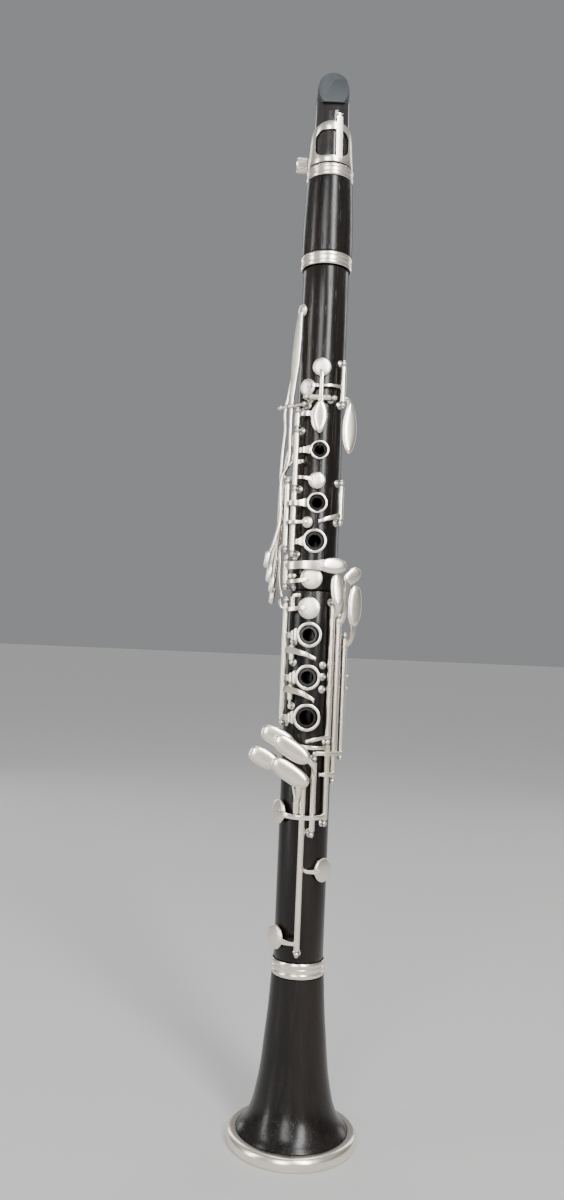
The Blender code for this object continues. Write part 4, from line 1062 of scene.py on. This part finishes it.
# ---- long levers of the left little finger
# Three long tubes run down the right of the lower joint. Their touches fan out at the top for the
# left little finger, and a foot from each crosses to the key that it works at the bottom.
line = long_lines[0]
stem = [(*line, 317, 3), (13.2, -14.6, 318.4, 3), (14.6, -16.4, 321.5, 3.2), (15.0, -17.4, 326.5, 4.6)]
stem = arm([*stem, (14.6, -17.5, 330, 5.6)], (0.9, 0.4, 0), 1.7)
touch = plate((13.8, -17.7, 333.3), (12.6, -17.8, 343.4), 8.0, 2.4, (0.25, -0.95, 0), 2.3)
foot = [(*line, 245, 2.6), (9.8, -16.4, 244.8, 2.4), (5, -18.8, 243.8, 2.4), (0, -20, 242.6, 2.8)]
pieces = [sleeve(line, 243.8, 324.4), stem, touch, arm(foot, thick=1.4)]
key("long_f_sharp_key", [*pieces, peg((-0.9, -20.2, 242.4), 1.3)])

line = long_lines[1]
stem = [(*line, 313, 3), (17.6, -13.6, 315.4, 3), (18.9, -14.8, 320, 2.8), (19.4, -15, 330, 2.8)]
stem = arm([*stem, (20.2, -14.6, 338, 4), (20.9, -14.2, 341.2, 6)], (0.86, 0.5, 0), 1.7)
touch = plate((22.9, -13.6, 343.0), (27.6, -12.0, 347.3), 8.8, 2.4, (0.4, -0.9, 0), 2.4)
foot = [(*line, 223, 2.6), (16.6, -14.6, 223, 2.4), (13.4, -17.7, 222.9, 2.4), (7, -19.6, 222.8, 2.6)]
key("long_e_key", [sleeve(line, 220.6, 316.6), stem, touch, arm(foot, thick=1.3)])

line = long_lines[2]
stem = [(*line, 300, 3), (22.4, -8.0, 301.4, 3), (24.3, -9.1, 306, 3), (25.0, -9.7, 314, 4.4)]
stem = arm([*stem, (25.2, -9.8, 319, 5.6)], (0.76, 0.65, 0), 1.7)
touch = plate((25.2, -10.2, 325), (25.4, -10.2, 337.6), 9.4, 2.6, (0.36, -0.93, 0), 2.5)
over = [(*line, 235.3, 2.6), (20.6, -10.6, 235.3, 2.4), (18.6, -14.2, 235.3, 2.4), (14, -17.9, 235.4, 2.4)]
over += [(8, -20, 235.4, 2.4), (3, -20.6, 235.4, 2.8)]
key("long_f_key", [sleeve(line, 234.4, 304.6), stem, touch, arm(over, thick=1.3)])


# ---- right little finger keys
# Four sausage-shaped plates lie in two rows under the right little finger. Thick stems curve from
# them into their tubes, and arms lead to the large cups down the lower joint.
def sausage(left, right_end, depth):
    left, right_end = Vector((left[0], -depth, left[1])), Vector((right_end[0], -depth, right_end[1]))
    return plate((left + right_end) / 2, right_end, 11.2, 3.6, (0, -1, 0), 2.6)


line = long_lines[0]
behind = [(-15, -18.0, 242.2, 4), (-10, -18.4, 240.6, 3.4), (-4, -19.2, 239.2, 2.8), (3, -19.4, 238.6, 2.6)]
behind += [(8.5, -17.4, 238.5, 2.6), (*line, 238.5, 2.6)]
over = [(*line, 197.8, 3.4), (10.4, -17.2, 197.8, 3.2), (7, -21, 197.6, 3.0), (0, -22.6, 197.4, 3.0)]
over += [(-7, -21.8, 197.6, 3.0), (-13, -18, 198.2, 3.4), (-16.4, -12.8, 198.5, 4.2)]
pieces = [sleeve(line, 195.2, 239.8), sausage((-28.4, 248.2), (-8.6, 239.4), 17.4), arm(behind, thick=1.6)]
key("f_sharp_key", [*pieces, arm(over, thick=1.6)], [cup(body_radius, -62, 198.6, 7.2, open_lift)])

line = e_flat_line
stem = [
    (-5.5, -22.2, 234.6, 4.4), (-1.6, -22.3, 232.4, 4), (2.0, -21.8, 229.6, 3.4), (4.2, -20.6, 225.8, 2.8)
]
stem = arm([*stem, (*line, 222, 2.6)], (0.6, 0, 0.8), 2.2)
down = [(*line, 190.6, 2.0), (2.6, -17.6, 190.2, 1.7), (0.4, -16.5, 188.6, 1.5), (-0.8, -16.25, 184, 1.3)]
down += [
    (-0.8, -16.25, 171, 1.3), (-0.5, -16.3, 167, 1.6), (1.2, -16.9, 165.1, 2.2), (5.4, -17.7, 164.9, 2.6)
]
down += [(9.4, -16.5, 164.9, 3.2)]
pieces = [sleeve(line, 189, 229.9), sausage((-20.4, 243.9), (0.8, 230.8), 22.6), stem]
key("e_flat_key", [*pieces, arm(down, (0, 0, 1), 1.3)], [cup(body_radius, 46, 165, 7.2)])

line = centre_line
stem = [(-22, -17.8, 229, 4), (-18.6, -18.2, 227.2, 3.6), (-14, -19.2, 222.8, 3.2), (-8.4, -20.1, 218, 2.8)]
stem = arm([*stem, (-4.6, -19.9, 216, 2.6), (*line, 215.4, 2.6)], (0.6, 0, 0.8), 1.7)
low_arm = [
    (*line, 122.6, 2.8), (-4.6, -19.2, 122.7, 2.6), (-8.6, -17.9, 122.9, 2.8), (-12.4, -15.6, 123.6, 4)
]
pieces = [sleeve(line, 118.6, 217.6), sausage((-35, 235.4), (-17.4, 226.8), 18), stem]
key("e_key", [*pieces, arm(low_arm, thick=1.6)], [cup(body_radius, -56, 124, 7.2, open_lift)])

line = f_line
curl = [
    (-7.2, -22.2, 222.4, 4.6), (-5.4, -22.4, 218.4, 4.2), (-4.9, -22.2, 214.4, 3.6), (-5.1, -21.4, 210.6, 3.2)
]
curl = arm([*curl, (-5.6, -19.8, 207, 2.8), (*line, 205, 2.6)], (1, 0, 0), 2.2)
branch = [(*line, 208, 1.7), (-6.8, -19.2, 209.4, 1.6), (-7.6, -19.2, 212.8, 1.6), (-8.1, -18.8, 216.6, 1.7)]
branch = arm([*branch, (-8.5, -18.2, 219.4, 2)], (0, 1, 0), 1.5)
pieces = [sleeve(line, 199.2, 210), sausage((-21.4, 230.4), (0.6, 216.6), 22.6), curl, branch]
key("f_key", pieces, [cup(body_radius, -30, 222, 4, open_lift)])


# ---- thumb rest
# A plated hook for the right thumb is screwed to the back of the lower joint by a thin curved
# plate.
base = block((-7, body_radius + 0.3, 258), (7, body_radius + 1.9, 284))
soften(base, 0.7, 3)
carve(base, [bar((0, 0, 250), (0, 0, 292), body_radius + 0.3, 96)])
hook = block((-6.4, body_radius + 1, 268.4), (6.4, 33, 270.8))
soften(hook, 0.8, 3)
lip = bar((-6.4, 33, 269.4), (6.4, 33, 269.4), 1.6, 32)
soften(lip, 0.6, 3)
screws = [placed(copied(slotted_mesh), (0, body_radius + 1.9, height), (0, 1, 0)) for height in (262, 280)]
pieces = [base, hook, lip, *screws]
present("thumb_rest_plated", pieces, "lower_section", nickel, ["thumb_rest"])
